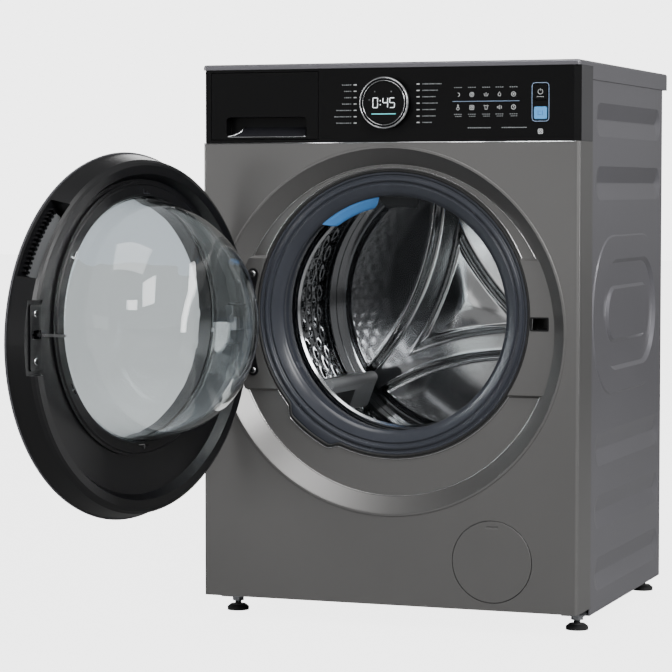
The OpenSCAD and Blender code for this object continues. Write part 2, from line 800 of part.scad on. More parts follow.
module dampers() color(dark) at_front() {
    l = sqrt(pow(damper_x2 - damper_x1, 2) + pow(damper_z2 - damper_z1, 2));
    for (s = [-1, 1]) {
        damper_run(s) {
            translate([0, 0, 4]) cylinder(h = l * 0.5, r = 5);
            translate([0, 0, l * 0.42]) cylinder(h = l * 0.53, r = 11);
        }
        translate([s * damper_x1, damper_y, damper_z1]) rotate([90, 0, 0]) {
            translate([0, 0, -8]) cylinder(h = 16, r = 8);
            translate([0, 0, -12]) cylinder(h = 24, r = 4);
        }
        translate([s * damper_x2, damper_y, damper_z2]) rotate([90, 0, 0]) translate([0, 0, -8])
            cylinder(h = 16, r = 12);
        translate([s * damper_x2 - 8, damper_y - 8, tray_z + 13]) cube([16, 16, damper_z2 - tray_z - 20]);
    }
}

module gasket() color(rubber) at_front() translate([0, 0, drum_z]) {
    f = recess_d;
    y_turn([[port_r + 5, f - 4], [port_r + 5, f - 0.1], [port_r - 0.3, f - 0.1], [port_r - 0.3, bead_y + 0.1],
        [port_r + 5, bead_y + 0.1], [port_r + 5, bead_y + 5], [port_r, bead_y + 10], [port_r, tub_y0 - 17],
        [lip_r + 3.5, tub_y0 - 15], [lip_r + 3.5, tub_y0 - 2], [lip_r + 0.2, tub_y0 - 2],
        [lip_r + 0.2, tub_y0 - 20], [lip_r - 4, tub_y0 - 24], [bowl_r + 13, tub_y0 - 24],
        [bowl_r + 11, tub_y0 - 18], [bowl_r + 11, drum_front - 6], [bowl_r + 7.5, drum_front - 6],
        [bowl_r + 7.5, tub_y0 - 24], [bowl_r + 3, f + 15], [bowl_r, f + 11], [bowl_r, f + 6.5],
        [bowl_r + 3, f + 5], [port_r - 8, f - 4]]);
    y_turn([[port_r + 4, f - 4], [port_r + bump_out + 3, f - 4], [port_r + bump_out + 3, f - 0.1],
        [port_r + 4, f - 0.1]], bump_start - 2, bump_sweep + 4);
}

module gasket_clamp() color(steel) at_front() translate([0, 0, drum_z]) {
    y_ring(lip_r + 6, lip_r + 3.6, tub_y0 - 11, tub_y0 - 6);
    span([-12, tub_y0 - 11, -lip_r - 11], [12, tub_y0 - 6, -lip_r - 5]);
}

// ---------------------------------------------------------------- drum

module bearings() color(steel) at_front() translate([0, 0, drum_z]) {
    y_ring(seat_r1 - 0.02, shaft_r + 0.03, bearing_y1, bearing_y1 + 16);
    y_ring(seat_r2 - 0.02, shaft_r - 2.5 + 0.03, bearing_y2, bearing_y2 + 15);
    color(black) y_ring(seal_r - 0.02, shaft_r + 0.3, tub_back - 1, bearing_y1 - slip);
}

module stator() color([0.6, 0.35, 0.15]) at_front() translate([0, 0, drum_z]) {
    y_ring(118, 62, tub_back + 12, tub_back + 34);
    for (k = [0:2]) rotate([0, -k * 120 - 30, 0])
        span([housing_r + 0.5, tub_back + 9.3, -12], [70, tub_back + 16, 12]);
}

rotor_back = bearing_y2 + 26;

module rotor() color(zinc) at_front() translate([0, 0, drum_z]) {
    magnet_y = tub_back + 12;
    difference() {
        y_turn([[10.05, rotor_back - 7], [30, rotor_back - 7], [30, rotor_back - 3], [131, rotor_back - 3],
            [131, tub_back + 10], [134, tub_back + 10], [134, rotor_back], [10.05, rotor_back]]);
        for (k = [0:7]) rotate([0, -k * 45, 0]) translate([80, 0, 0])
            y_disc(12, rotor_back - 5, rotor_back + 5);
    }
    y_ring(130.9, 122, magnet_y, magnet_y + 22);
}

shell_t = 1.4;

module drum_shell() color(steel) at_front() translate([0, 0, drum_z]) {
    t = shell_t;
    y0 = drum_front + 6;
    y1 = drum_back_y;
    r = drum_r;
    bead = 4;
    y_turn([[r, y0], [r + t, y0], [r + t, y0 + 34], [r + t - bead, y0 + 40], [r + t, y0 + 46],
        [r + t, y1 - 52], [r + t - bead, y1 - 46], [r + t, y1 - 40], [r + t, y1], [r, y1], [r, y1 - 40],
        [r - bead, y1 - 46], [r, y1 - 52], [r, y0 + 46], [r - bead, y0 + 40], [r, y0 + 34]]);
}

module drum_front_ring() color(steel) at_front() translate([0, 0, drum_z]) {
    y0 = drum_front;
    roll = mouth_r + 8;
    bend = roll + 0.585 * (drum_r - roll);
    y_turn([[mouth_r, y0 + 3], [mouth_r + 3, y0], [roll, y0 + 1], [bend, y0 + 1],
        [drum_r + shell_t, y0 + 4], [drum_r + shell_t, y0 + 5.9], [bend, y0 + 3], [roll, y0 + 3],
        [mouth_r + 4, y0 + 7], [mouth_r, y0 + 7]]);
}

module drum_back() color(steel) at_front() translate([0, 0, drum_z]) {
    y0 = drum_back_y;
    hub = 60;
    rise = 75;
    y_turn([[0, y0 - 3], [hub, y0 - 3], [rise, y0], [2 * rise, y0 + 0.1], [drum_r + shell_t, y0 + 0.1],
        [drum_r + shell_t, y0 + 1.7], [rise, y0 + 1.7], [hub, y0 - 1.4], [0, y0 - 1.4]]);
}

lifter_first = 99;

module lifters() color(dark) at_front() translate([0, 0, drum_z]) {
    top = 20;
    y0 = drum_front + 60;
    y1 = drum_back_y - 62;
    for (k = [0:2]) rotate([0, -(lifter_first + 120 * k), 0]) intersection() {
        translate([0, y1, 0]) rotate([90, 0, 0]) linear_extrude(y1 - y0) {
            polygon([[drum_r + 5, -lifter_w / 2], [drum_r + 5, lifter_w / 2], [drum_r - 8, lifter_w / 2],
                [drum_r - lifter_h + 8, top / 2], [drum_r - lifter_h + 8, -top / 2],
                [drum_r - 8, -lifter_w / 2]]);
            translate([drum_r - lifter_h + 10, 0]) circle(top / 2);
        }
        y_disc(drum_r - 0.2, y0 - 1, y1 + 1);
    }
}

module spider() color([0.7, 0.7, 0.7]) at_front() translate([0, 0, drum_z]) {
    y0 = drum_back_y + 1.9;
    difference() {
        union() {
            y_disc(38, y0, tub_back - 4);
            for (k = [0:2]) rotate([0, -(lifter_first + 120 * k), 0])
                span([20, y0, -14], [drum_r - 4, y0 + 13, 14]);
        }
        y_disc(shaft_r + 0.02, y0 - 1, tub_back);
    }
}

module drum_shaft() color(steel) at_front() translate([0, 0, drum_z]) {
    y_disc(shaft_r, drum_back_y + 1.9, bearing_y2 - 1);
    y_disc(shaft_r - 2.5, bearing_y2 - 1 - eps, bearing_y2 + 16);
    y_disc(10, bearing_y2 + 16 - eps, rotor_back + 4);
    y_disc(16, rotor_back + 0.1, rotor_back + 6);
}

// ---------------------------------------------------------------- door lock and hinge

module door_lock() color(black) at_front() {
    difference() {
        y_plate(lock_x + lock_shift, lock_z, 40, 60, 4, bead_y, bead_y + 32);
        y_plate(lock_x, lock_z, 27, 19, 1, bead_y - 1, bead_y + 29);
    }
    difference() {
        y_plate(lock_x, lock_z, 28.4, 20.4, 2, pad_y - 0.6, bead_y + 0.5);
        y_plate(lock_x, lock_z, 25, 17, 1, pad_y - 2, bead_y + 2);
    }
}

knuckle = 21;
lug_r = 8;

// Outline of a hinge lug from the pin to its foot, seen from above
module lug_outline(foot_y) {
    translate([-hinge_x, -hinge_out]) circle(lug_r);
    polygon([[-hinge_x - 3, -hinge_out - 7.4], [-hinge_x - 7.5, -hinge_out + 3], [hinge_screw_x - 11, foot_y],
        [hinge_screw_x + 6, foot_y], [-hinge_x + 7.8, -hinge_out - 2]]);
}

module hinge_bracket() color(black) at_front() {
    plate_t = 3;
    difference() {
        union() {
            translate([0, pad_y, hinge_z]) rotate([90, 0, 0]) linear_extrude(plate_t) {
                for (s = [-1, 1]) translate([hinge_screw_x, s * hinge_screw_dz]) circle(8.5);
                polygon([[hinge_screw_x - 8.5, -hinge_screw_dz], [hinge_screw_x + 8.5, -hinge_screw_dz],
                    [hinge_screw_x + 3, -46], [hinge_screw_x + 3, 46],
                    [hinge_screw_x + 8.5, hinge_screw_dz], [hinge_screw_x - 8.5, hinge_screw_dz],
                    [hinge_screw_x - 12, 46], [hinge_screw_x - 12, -46]]);
            }
            for (z = [hinge_z - 1.5 * knuckle - slip, hinge_z + 0.5 * knuckle + slip])
                translate([0, 0, z]) linear_extrude(knuckle) lug_outline(pad_y - 1);
        }
        for (s = [-1, 1]) translate([hinge_screw_x, 0, hinge_z + s * hinge_screw_dz]) y_disc(2.2, 0, 60);
        translate([-hinge_x, -hinge_out, 0]) cylinder(h = body_h, r = hinge_pin_r + 0.05);
    }
    for (s = [-1, 1]) screw(hinge_screw_x, pad_y - plate_t, hinge_z + s * hinge_screw_dz, 2, 12);
}

module hinge_pin() color(steel) at_front() translate([-hinge_x, -hinge_out, hinge_z - 1.5 * knuckle - 1.5]) {
    cylinder(h = 3 * knuckle + 3, r = hinge_pin_r);
    translate([0, 0, 3 * knuckle + 2.2]) cylinder(h = 2, r = hinge_pin_r + 1.5);
}

notch_in = 26;

module hinge_arm() color(zinc) on_door() {
    flange_t = 3;
    tall = 1.5 * knuckle - 2;
    difference() {
        translate([0, 0, hinge_z - knuckle / 2 + slip]) union() {
            translate([-hinge_x, -hinge_out, 0]) cylinder(h = knuckle - 2 * slip, r = lug_r);
            span([-hinge_x, -hinge_out - lug_r, 0],
                [-hinge_x + notch_in - slip, -hinge_out + lug_r - 2, knuckle - 2 * slip]);
        }
        translate([-hinge_x, -hinge_out, 0]) cylinder(h = body_h, r = hinge_pin_r + 0.05);
    }
    difference() {
        span([-hinge_x + notch_in - flange_t - slip, -hinge_out - lug_r - 5, hinge_z - tall],
            [-hinge_x + notch_in - slip, -face_out - 2, hinge_z + tall]);
        span([-hinge_x, -hinge_out - lug_r + 1, hinge_z - knuckle / 2 + 1],
            [-hinge_x + notch_in, -hinge_out + lug_r - 3, hinge_z + knuckle / 2 - 1]);
    }
}

// ---------------------------------------------------------------- door

// Places a door part, drawn closed, at the door's open angle
module on_door() {
    translate([-hinge_x, front_y - hinge_out, 0]) rotate([0, 0, -door_open])
        translate([hinge_x, hinge_out, 0]) children();
}

window_r = 205;
cover_t = 4;
flange_w = 6;
flange_t = 3;

module door_cover() color(graphite) on_door() {
    y = -rim_out;
    difference() {
        translate([0, 0, door_z]) y_turn([[door_r, y], [door_r - 1, y - 3], [door_r - 10, y - 6],
            [window_r + 8, y - 9], [window_r - 50, y - 8], [window_r - 50, y - cover_t],
            [window_r + 8, y - cover_t], [window_r + 12, y - cover_t - 1], [door_r - 12, y - 2],
            [door_r - 4, y]]);
        translate([0, 0, drum_z]) y_disc(window_r - 19, y - 20, y + 2);
    }
}

module door_window() color(glass) on_door() translate([0, 0, drum_z])
    y_disc(window_r - 9, -rim_out - cover_t + 0.1, -rim_out - 0.1);

latch_x = lock_x + 3;
hook_y = -face_out - 17;
dish_y = -face_out - 13;
bowl_y = -face_out - 11;
ring_w = 18;

module door_frame() color(black) on_door() {
    y_rim = -rim_out;
    y_face = -face_out;
    lip = 4;
    difference() {
        union() {
            translate([0, 0, door_z]) y_turn([[0, y_rim + 0.2], [door_r - 2, y_rim + 0.2],
                [door_face_r + 4, y_face - 6], [door_face_r, y_face - 2], [door_face_r - 4, y_face],
                [door_face_r - 16, y_face - 0.5], [bowl_r + 51, dish_y], [0, dish_y]]);
            translate([0, 0, drum_z]) y_disc(bowl_r + ring_w + lip, dish_y - 10, dish_y + 4);
        }
        translate([0, 0, drum_z]) {
            y_disc(bowl_r + ring_w, bowl_y - flange_t - 2, 5);
            y_disc(bowl_r + flange_w + 1, bowl_y - flange_t - 0.2, 5);
            y_disc(bowl_r - 6, y_rim - 1, 5);
        }
        difference() {
            translate([0, 0, door_z]) y_disc(door_face_r - 6, y_rim - 1, dish_y - 5);
            translate([0, 0, drum_z]) y_disc(bowl_r + 10, y_rim - 2, 5);
            span([170, -100, door_z - 55], [300, 20, door_z + 75]);
            span([100, -100, door_z + 75], [300, 20, door_z + 230]);
            span([-300, -100, door_z - 40], [-185, 20, door_z + 60]);
        }
        // finger grip behind the rim
        translate([0, 0, door_z]) y_turn([[door_r - 40, y_rim + 4], [door_r - 40, y_rim + 18],
            [door_face_r - 6, y_face - 5], [door_r + 6, y_face - 5], [door_r + 6, y_rim + 4]], 21, 28);
        // pocket for the latch
        span([latch_x - 13, y_face - 12, door_z - 42], [latch_x + 40, 5, door_z + 62]);
        span([latch_x - 9, y_face - 24, lock_z - 7], [latch_x + 9, 5, lock_z + 7]);
        // notch for the hinge
        span([-door_r - 10, y_rim + 3.4, hinge_z - 1.5 * knuckle - 2],
            [-hinge_x + notch_in, 5, hinge_z + 1.5 * knuckle + 2]);
        translate([-hinge_x, -hinge_out, hinge_z - 50]) cylinder(h = 100, r = hinge_pin_r + 2);
    }
}

module door_retainer() color(black) on_door() translate([0, 0, drum_z]) {
    y0 = bowl_y - flange_t - 1.9;
    y1 = bowl_y + 4;
    difference() {
        y_turn([[bowl_r + 0.8, bowl_y + 0.7], [bowl_r + flange_w + 1.2, bowl_y + 0.7],
            [bowl_r + flange_w + 1.2, y0], [bowl_r + ring_w - slip, y0], [bowl_r + ring_w - slip, y1 - 1.5],
            [bowl_r + ring_w - 2, y1], [bowl_r + 3, y1], [bowl_r + 0.8, y1 - 1.5]]);
        for (a = [30:60:330]) rotate([0, -a, 0]) span([bowl_r + 6, y1 - 2, -9], [bowl_r + 7.5, y1 + 1, 9]);
    }
}

module latch_plate() color(dark) on_door() {
    y0 = -face_out - 12 + 0.1;
    t = 2.5;
    difference() {
        y_plate(latch_x + 1, lock_z - 4, 24, 92, 3, y0, y0 + t);
        span([latch_x - 9, y0 - 1, lock_z - 6], [latch_x + 9, y0 + t + 1, lock_z + 6]);
        for (s = [-1, 1]) translate([latch_x + 1, 0, lock_z - 4 + s * 33]) y_disc(2.2, y0 - 1, y0 + t + 1);
    }
    for (s = [-1, 1]) translate([latch_x + 1, y0 + t, lock_z - 4 + s * 33]) rotate([0, 0, 180]) {
        y_disc(4, -2.4, -eps);
        y_disc(1.9, -2, t);
    }
    translate([latch_x, hook_y, lock_z - 6.8]) cylinder(h = 13.6, r = 2);
}

module latch_hook() color(steel) on_door() difference() {
    tip = recess_d + 13;
    translate([0, 0, lock_z - 2]) linear_extrude(4) {
        translate([latch_x, hook_y]) circle(4);
        polygon([[latch_x - 4, hook_y], [latch_x + 4, hook_y], [latch_x + 4, tip - 6], [latch_x, tip],
            [latch_x - 8, tip - 5], [latch_x - 8, tip - 9], [latch_x - 3, tip - 10],
            [latch_x - 3, hook_y + 8]]);
    }
    translate([latch_x, hook_y, 0]) cylinder(h = body_h, r = 2.05);
}

// The glass bowl: rings of [depth, half width, half height, drop of the centre]
bowl_rings = [[0, 1, 1, 0], [0.3, 0.98, 0.955, 0.1], [0.55, 0.935, 0.885, 0.3], [0.78, 0.83, 0.76, 0.6],
    [0.92, 0.68, 0.6, 0.85], [0.98, 0.5, 0.43, 1], [1, 0.26, 0.23, 1]];
bowl_drop = 12;
bowl_sides = 48;
function bowl_ring(k, inset) = let (q = bowl_rings[k]) [
    for (j = [0:bowl_sides - 1]) let (a = 360 * j / bowl_sides)
    [(bowl_r * q[1] - inset) * cos(a), bowl_y + (bowl_depth - inset) * q[0],
        (bowl_r * q[2] - inset) * sin(a) - bowl_drop * q[3]]];

// One shell from rings that run out along the outside and back along the inside
module ring_shell(rings) {
    n = len(rings);
    m = bowl_sides;
    points = [for (ring = rings) each ring];
    faces = [for (k = [0:n - 2], j = [0:m - 1]) each [
        [k * m + j, k * m + (j + 1) % m, (k + 1) * m + j],
        [k * m + (j + 1) % m, (k + 1) * m + (j + 1) % m, (k + 1) * m + j]]];
    caps = [[for (j = [m - 1:-1:0]) j], [for (j = [0:m - 1]) (n - 1) * m + j]];
    polyhedron(points, concat(faces, caps), convexity = 6);
}

module door_glass() color(glass) on_door() translate([0, 0, drum_z]) {
    last = len(bowl_rings) - 1;
    difference() {
        ring_shell([for (k = [0:last]) bowl_ring(k, 0)]);
        ring_shell([[for (p = bowl_ring(0, glass_t)) p - [0, 1, 0]],
            for (k = [1:last]) bowl_ring(k, glass_t)]);
    }
    y_ring(bowl_r + flange_w, bowl_r - glass_t, bowl_y - flange_t, bowl_y + 0.5);
}

front_panel();
side_panel_left();
side_panel_right();
rear_panel();
service_cover();
rear_plugs();
worktop();
top_crossbar();
base_tray();
foot_brackets();
foot_front_left();
foot_front_right();
foot_rear_left();
foot_rear_right();
control_bezel();
fascia();
dial_face();
dial_ring();
power_button();
start_button();
control_board();
drawer_front();
drawer_trim();
drawer_tray();
dispenser_housing();
inlet_valve();
fill_hose();
filter_cover();
filter_cap();
drain_pump();
sump_hose();
drain_outlet();
tub_front();
tub_rear();
counterweights();
heater();
tub_springs();
dampers();
gasket();
gasket_clamp();
bearings();
stator();
drum_shell();
drum_front_ring();
drum_back();
lifters();
spider();
drum_shaft();
rotor();
door_lock();
hinge_bracket();
hinge_pin();
hinge_arm();
door_cover();
door_window();
door_frame();
door_retainer();
door_glass();
latch_plate();
latch_hook();
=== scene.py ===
"""Front load washing machine with its door open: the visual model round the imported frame."""
import json
import math

import bmesh
import bpy
import numpy as np
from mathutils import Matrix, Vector

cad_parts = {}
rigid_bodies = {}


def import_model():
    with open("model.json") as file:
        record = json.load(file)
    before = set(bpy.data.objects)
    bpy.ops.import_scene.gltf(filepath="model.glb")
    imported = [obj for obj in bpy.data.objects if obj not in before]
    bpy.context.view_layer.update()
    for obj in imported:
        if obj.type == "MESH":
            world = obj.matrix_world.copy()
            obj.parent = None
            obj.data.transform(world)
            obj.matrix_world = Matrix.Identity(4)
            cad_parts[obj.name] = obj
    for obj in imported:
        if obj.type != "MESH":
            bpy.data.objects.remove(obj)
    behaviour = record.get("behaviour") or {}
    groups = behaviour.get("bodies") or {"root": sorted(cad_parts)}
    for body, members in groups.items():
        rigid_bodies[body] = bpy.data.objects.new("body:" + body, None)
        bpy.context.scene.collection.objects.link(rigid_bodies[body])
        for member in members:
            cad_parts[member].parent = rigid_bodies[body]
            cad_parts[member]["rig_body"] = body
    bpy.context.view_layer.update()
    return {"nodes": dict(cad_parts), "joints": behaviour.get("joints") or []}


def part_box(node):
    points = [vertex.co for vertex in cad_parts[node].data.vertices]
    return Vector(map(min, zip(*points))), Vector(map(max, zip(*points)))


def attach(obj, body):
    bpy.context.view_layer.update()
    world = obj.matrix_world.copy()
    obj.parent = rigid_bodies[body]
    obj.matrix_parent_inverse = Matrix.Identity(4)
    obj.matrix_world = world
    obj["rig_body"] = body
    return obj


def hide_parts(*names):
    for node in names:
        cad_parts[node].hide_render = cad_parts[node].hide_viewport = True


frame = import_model()
MM = 0.001

# ------------------------------------------------------------------ places, from the frame

FRONT_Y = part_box("front_panel")[0].y + 1.2 * MM      # plane of the front sheet, behind its bead
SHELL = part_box("drum_shell")
AXIS_Z = (SHELL[0].z + SHELL[1].z) / 2
SHELL_SHEET = 1.4                           # the shell stands this much outside the drum's radius, mm
DRUM_R = (SHELL[1].x - SHELL[0].x) / 2 - SHELL_SHEET * MM
DRUM_END = 425.0                            # depth where the drum's shell meets its back plate, mm
JOINTS = {j["name"]: j for j in frame["joints"]}
HINGE = Vector(JOINTS["door_hinge"]["pos_m"])
DOOR_OPEN = math.radians(-JOINTS["door_hinge"]["range_deg"][0])
DOOR_Z = 447.0                              # height of the door's and the recess's centre, mm
LIFTER_ANGLES = (99, 219, 339)              # degrees from +X towards +Z
DISPLAY_FACE = -14.0                        # the display stands this far in front of the front plane, mm
KEY_FACE = -0.8                             # the two keys stand this far in front of it, mm
PRINT_THICK = 0.12                          # height of the marks on the panel, more than real ink, mm


# ------------------------------------------------------------------ mesh tools

def surface(name, grid, closed_u=False, closed_v=False, uv=None, smooth=True):
    """Mesh from a grid of points (rows, columns, 3): one quad between each four neighbours.

    closed_u joins the last row to the first, closed_v the last column to the first."""
    rows, cols = grid.shape[:2]
    index = np.arange(rows * cols).reshape(rows, cols)
    if closed_u:
        index = np.concatenate([index, index[:1]], axis=0)
    if closed_v:
        index = np.concatenate([index, index[:, :1]], axis=1)
    quads = np.stack([index[:-1, :-1], index[1:, :-1], index[1:, 1:], index[:-1, 1:]], axis=-1).reshape(-1, 4)
    mesh = bpy.data.meshes.new(name)
    mesh.vertices.add(rows * cols)
    mesh.vertices.foreach_set("co", grid.reshape(-1, 3).astype(np.float32).ravel())
    mesh.loops.add(quads.size)
    mesh.loops.foreach_set("vertex_index", quads.ravel().astype(np.int32))
    mesh.polygons.add(len(quads))
    mesh.polygons.foreach_set("loop_start", (np.arange(len(quads)) * 4).astype(np.int32))
    mesh.update(calc_edges=True)
    if uv is not None:
        wide = uv
        if closed_u:
            last = wide[:1].copy()
            last[..., 0] += 1.0
            wide = np.concatenate([wide, last], axis=0)
        if closed_v:
            wide = np.concatenate([wide, wide[:, :1]], axis=1)
        layer = mesh.uv_layers.new(name="UVMap")
        corner = np.stack([wide[:-1, :-1], wide[1:, :-1], wide[1:, 1:], wide[:-1, 1:]], axis=2)
        layer.data.foreach_set("uv", corner.reshape(-1, 2).astype(np.float32).ravel())
    mesh.polygons.foreach_set("use_smooth", np.full(len(quads), smooth))
    obj = bpy.data.objects.new(name, mesh)
    bpy.context.scene.collection.objects.link(obj)
    return obj


def outward(obj):
    """Turns a closed mesh's faces so that they point out of it."""
    bm = bmesh.new()
    bm.from_mesh(obj.data)
    bmesh.ops.remove_doubles(bm, verts=bm.verts, dist=1e-6)
    bmesh.ops.recalc_face_normals(bm, faces=bm.faces)
    bm.to_mesh(obj.data)
    bm.free()
    return obj


def rounded(points, radius, steps=5, closed=True):
    """Outline whose corners are swapped for arcs: each corner is a quadratic curve between two points
    set back from it by the radius, or by under half the shorter side."""
    pts = np.array(points, float)
    n = len(pts)
    out = []
    for i in range(n):
        if not closed and i in (0, n - 1):
            out.append(pts[i])
            continue
        here, before, after = pts[i], pts[i - 1], pts[(i + 1) % n]
        a, b = before - here, after - here
        la, lb = np.linalg.norm(a), np.linalg.norm(b)
        back = min(radius, la * 0.45, lb * 0.45)
        start, end = here + a / la * back, here + b / lb * back
        for t in np.linspace(0, 1, steps):
            out.append((1 - t) ** 2 * start + 2 * t * (1 - t) * here + t * t * end)
    return np.array(out)


def about_axis(radius, depth, turn, centre_z=AXIS_Z):
    """Points in metres from a radius and a depth behind the front in mm, turned round a Y axis by the angle
    from +X towards +Z."""
    radius, depth, turn = np.broadcast_arrays(radius * MM, depth * MM, turn)
    return np.stack([radius * np.cos(turn), FRONT_Y + depth, centre_z + radius * np.sin(turn)], axis=-1)


def full_turn(sides):
    """Column of equal angles round a whole circle, in radians."""
    return np.radians(np.linspace(0, 360, sides, endpoint=False))[:, None]


def turned(name, profile, centre_z, sides):
    """Solid of revolution round a Y axis, from its outline of [radius, depth behind the front] in mm."""
    grid = about_axis(profile[None, :, 0], profile[None, :, 1], full_turn(sides), centre_z)
    return outward(surface(name, grid, closed_u=True, closed_v=True))


def cap_ends(obj, cols, rows):
    """Closes the first and last outline of a swept part."""
    bm = bmesh.new()
    bm.from_mesh(obj.data)
    bm.verts.ensure_lookup_table()
    bm.faces.new([bm.verts[i] for i in range(cols)])
    bm.faces.new([bm.verts[(rows - 1) * cols + i] for i in range(cols)][::-1])
    bm.to_mesh(obj.data)
    bm.free()


def softened(node, width):
    """Copy of a CAD node with its flat faces joined up, and its edges sharper than 28 degrees rounded by
    width mm."""
    source = frame["nodes"][node]
    obj = bpy.data.objects.new(node + "_soft", source.data.copy())
    bpy.context.scene.collection.objects.link(obj)
    shading = obj.data.attributes.get("custom_normal")
    if shading:
        obj.data.attributes.remove(shading)
    bm = bmesh.new()
    bm.from_mesh(obj.data)
    bmesh.ops.remove_doubles(bm, verts=bm.verts, dist=2e-6)
    bmesh.ops.dissolve_limit(bm, angle_limit=math.radians(0.4), verts=bm.verts, edges=bm.edges)
    for face in bm.faces:
        face.smooth = True
    bm.to_mesh(obj.data)
    bm.free()
    bevel = obj.modifiers.new("edges", "BEVEL")
    bevel.width = width * MM
    bevel.segments = 2
    bevel.limit_method = "ANGLE"
    bevel.angle_limit = math.radians(28)
    bevel.harden_normals = True
    bevel.use_clamp_overlap = True
    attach(obj, frame["nodes"][node]["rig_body"])
    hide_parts(node)
    return obj


def finish_piece(obj, body, slot, mat, *nodes):
    """Gives a piece its body and material, and hides the CAD nodes that it stands for; its slot is not used.
    """
    obj.data.materials.clear()
    obj.data.materials.append(mat)
    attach(obj, body)
    if nodes:
        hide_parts(*nodes)
    return obj


# ------------------------------------------------------------------ materials

def colour(code):
    """sRGB hex to linear RGBA: each channel goes through the sRGB curve."""
    channels = [int(code[i:i + 2], 16) / 255 for i in (1, 3, 5)]
    return [c / 12.92 if c <= 0.04045 else ((c + 0.055) / 1.055) ** 2.4 for c in channels] + [1.0]


def put(tree, kind, links=None, **settings):
    """Adds a node: settings are its properties, links its inputs, each a value or another node's output."""
    node = tree.nodes.new(kind)
    for key, value in settings.items():
        setattr(node, key, value)
    for key, value in (links or {}).items():
        if isinstance(value, bpy.types.NodeSocket):
            tree.links.new(value, node.inputs[key])
        else:
            node.inputs[key].default_value = value
    return node


def fresh(name, **sockets):
    """New material with constants set on its shader's own sockets."""
    mat = bpy.data.materials.new(name)
    mat.use_nodes = True
    shader = mat.node_tree.nodes["Principled BSDF"]
    for key, value in sockets.items():
        shader.inputs[key.replace("_", " ")].default_value = value
    return mat, mat.node_tree, shader


def vary(tree, shader, low, high, patch_mm, base_rough, spread):
    """Colour drifts between two near tones and the gloss drifts with it, over patches of patch_mm."""
    coords = put(tree, "ShaderNodeTexCoord").outputs["Object"]
    cloud = put(tree, "ShaderNodeTexNoise", {"Vector": coords, "Scale": 1000 / patch_mm, "Detail": 4.0})
    ramp = put(tree, "ShaderNodeMix", {"Factor": cloud.outputs["Fac"], "A": colour(low), "B": colour(high)},
               data_type="RGBA")
    tree.links.new(ramp.outputs["Result"], shader.inputs["Base Color"])
    rough = put(tree, "ShaderNodeMapRange", {"Value": cloud.outputs["Fac"], "To Min": base_rough - spread,
                                             "To Max": base_rough + spread})
    tree.links.new(rough.outputs["Result"], shader.inputs["Roughness"])
    return coords


def grain(tree, shader, coords, grain_mm, strength, height_mm, detail=2.0):
    """Fine bumps of grain_mm across and height_mm high."""
    noise = put(tree, "ShaderNodeTexNoise", {"Vector": coords, "Scale": 1000 / grain_mm, "Detail": detail})
    bump = put(tree, "ShaderNodeBump", {"Height": noise.outputs["Fac"], "Strength": strength,
                                        "Distance": height_mm * MM})
    tree.links.new(bump.outputs["Normal"], shader.inputs["Normal"])


def film_coated_steel():
    """Pre-coated sheet steel in dark platinum: a clear film over a very fine upright brush. It gives soft,
    slightly metallic reflections and a faint upright streak."""
    mat, tree, shader = fresh("film_coated_steel", Metallic=0.7, Coat_Weight=0.3, Coat_Roughness=0.2)
    coords = vary(tree, shader, "#767574", "#807f7e", 260, 0.33, 0.03)
    brush_mm = 0.9     # real brush lines are 0.1 mm, drawn coarser so that they show
    stretch = put(tree, "ShaderNodeMapping", {"Vector": coords, "Scale": (1.0, 1.0, 0.03)})
    lines = put(tree, "ShaderNodeTexNoise", {"Vector": stretch.outputs["Vector"], "Scale": 1000 / brush_mm,
                                             "Detail": 3.0})
    bump = put(tree, "ShaderNodeBump", {"Height": lines.outputs["Fac"], "Strength": 0.10,
                                        "Distance": 0.02 * MM})
    tree.links.new(bump.outputs["Normal"], shader.inputs["Normal"])
    return mat


def cabinet_paint():
    """Powder-coated side sheets in mid grey: satin, with the faint orange peel of a sprayed coat."""
    mat, tree, shader = fresh("cabinet_powder_coat", Metallic=0.6, Coat_Weight=0.35, Coat_Roughness=0.18)
    coords = vary(tree, shader, "#76757a", "#807f85", 300, 0.36, 0.03)
    grain(tree, shader, coords, 1.6, 0.12, 0.05)
    return mat


def plastic(name, low, high, rough, grain_mm, strength, coat=0.0, ior=1.5):
    """Moulded ABS: an even colour with a slight drift, and the spark-eroded texture of its mould."""
    mat, tree, shader = fresh(name, IOR=ior, Coat_Weight=coat, Coat_Roughness=0.06)
    coords = vary(tree, shader, low, high, 90, rough, 0.04)
    grain(tree, shader, coords, grain_mm, strength, 0.06)
    return mat


def zinc_plated():
    """Zinc-plated pressed steel: pale metal with the spangle of its bath."""
    mat, tree, shader = fresh("zinc_plated_steel", Metallic=0.9)
    coords = put(tree, "ShaderNodeTexCoord").outputs["Object"]
    spangle = put(tree, "ShaderNodeTexVoronoi", {"Vector": coords, "Scale": 1000 / 7.0})
    mix = put(tree, "ShaderNodeMix", {"Factor": spangle.outputs["Distance"], "A": colour("#9a9ca0"),
                                      "B": colour("#b5b7ba")}, data_type="RGBA")
    tree.links.new(mix.outputs["Result"], shader.inputs["Base Color"])
    rough = put(tree, "ShaderNodeMapRange", {"Value": spangle.outputs["Distance"], "To Min": 0.3,
                                             "To Max": 0.45})
    tree.links.new(rough.outputs["Result"], shader.inputs["Roughness"])
    return mat


def bright_steel(name, low, high, rough, grain_mm=5.0, strength=0.08):
    """Polished stainless steel: near-mirror, with the drawing marks of rolled sheet."""
    mat, tree, shader = fresh(name, Metallic=1.0)
    coords = vary(tree, shader, low, high, 60, rough, 0.03)
    grain(tree, shader, coords, grain_mm, strength, 0.05)
    return mat


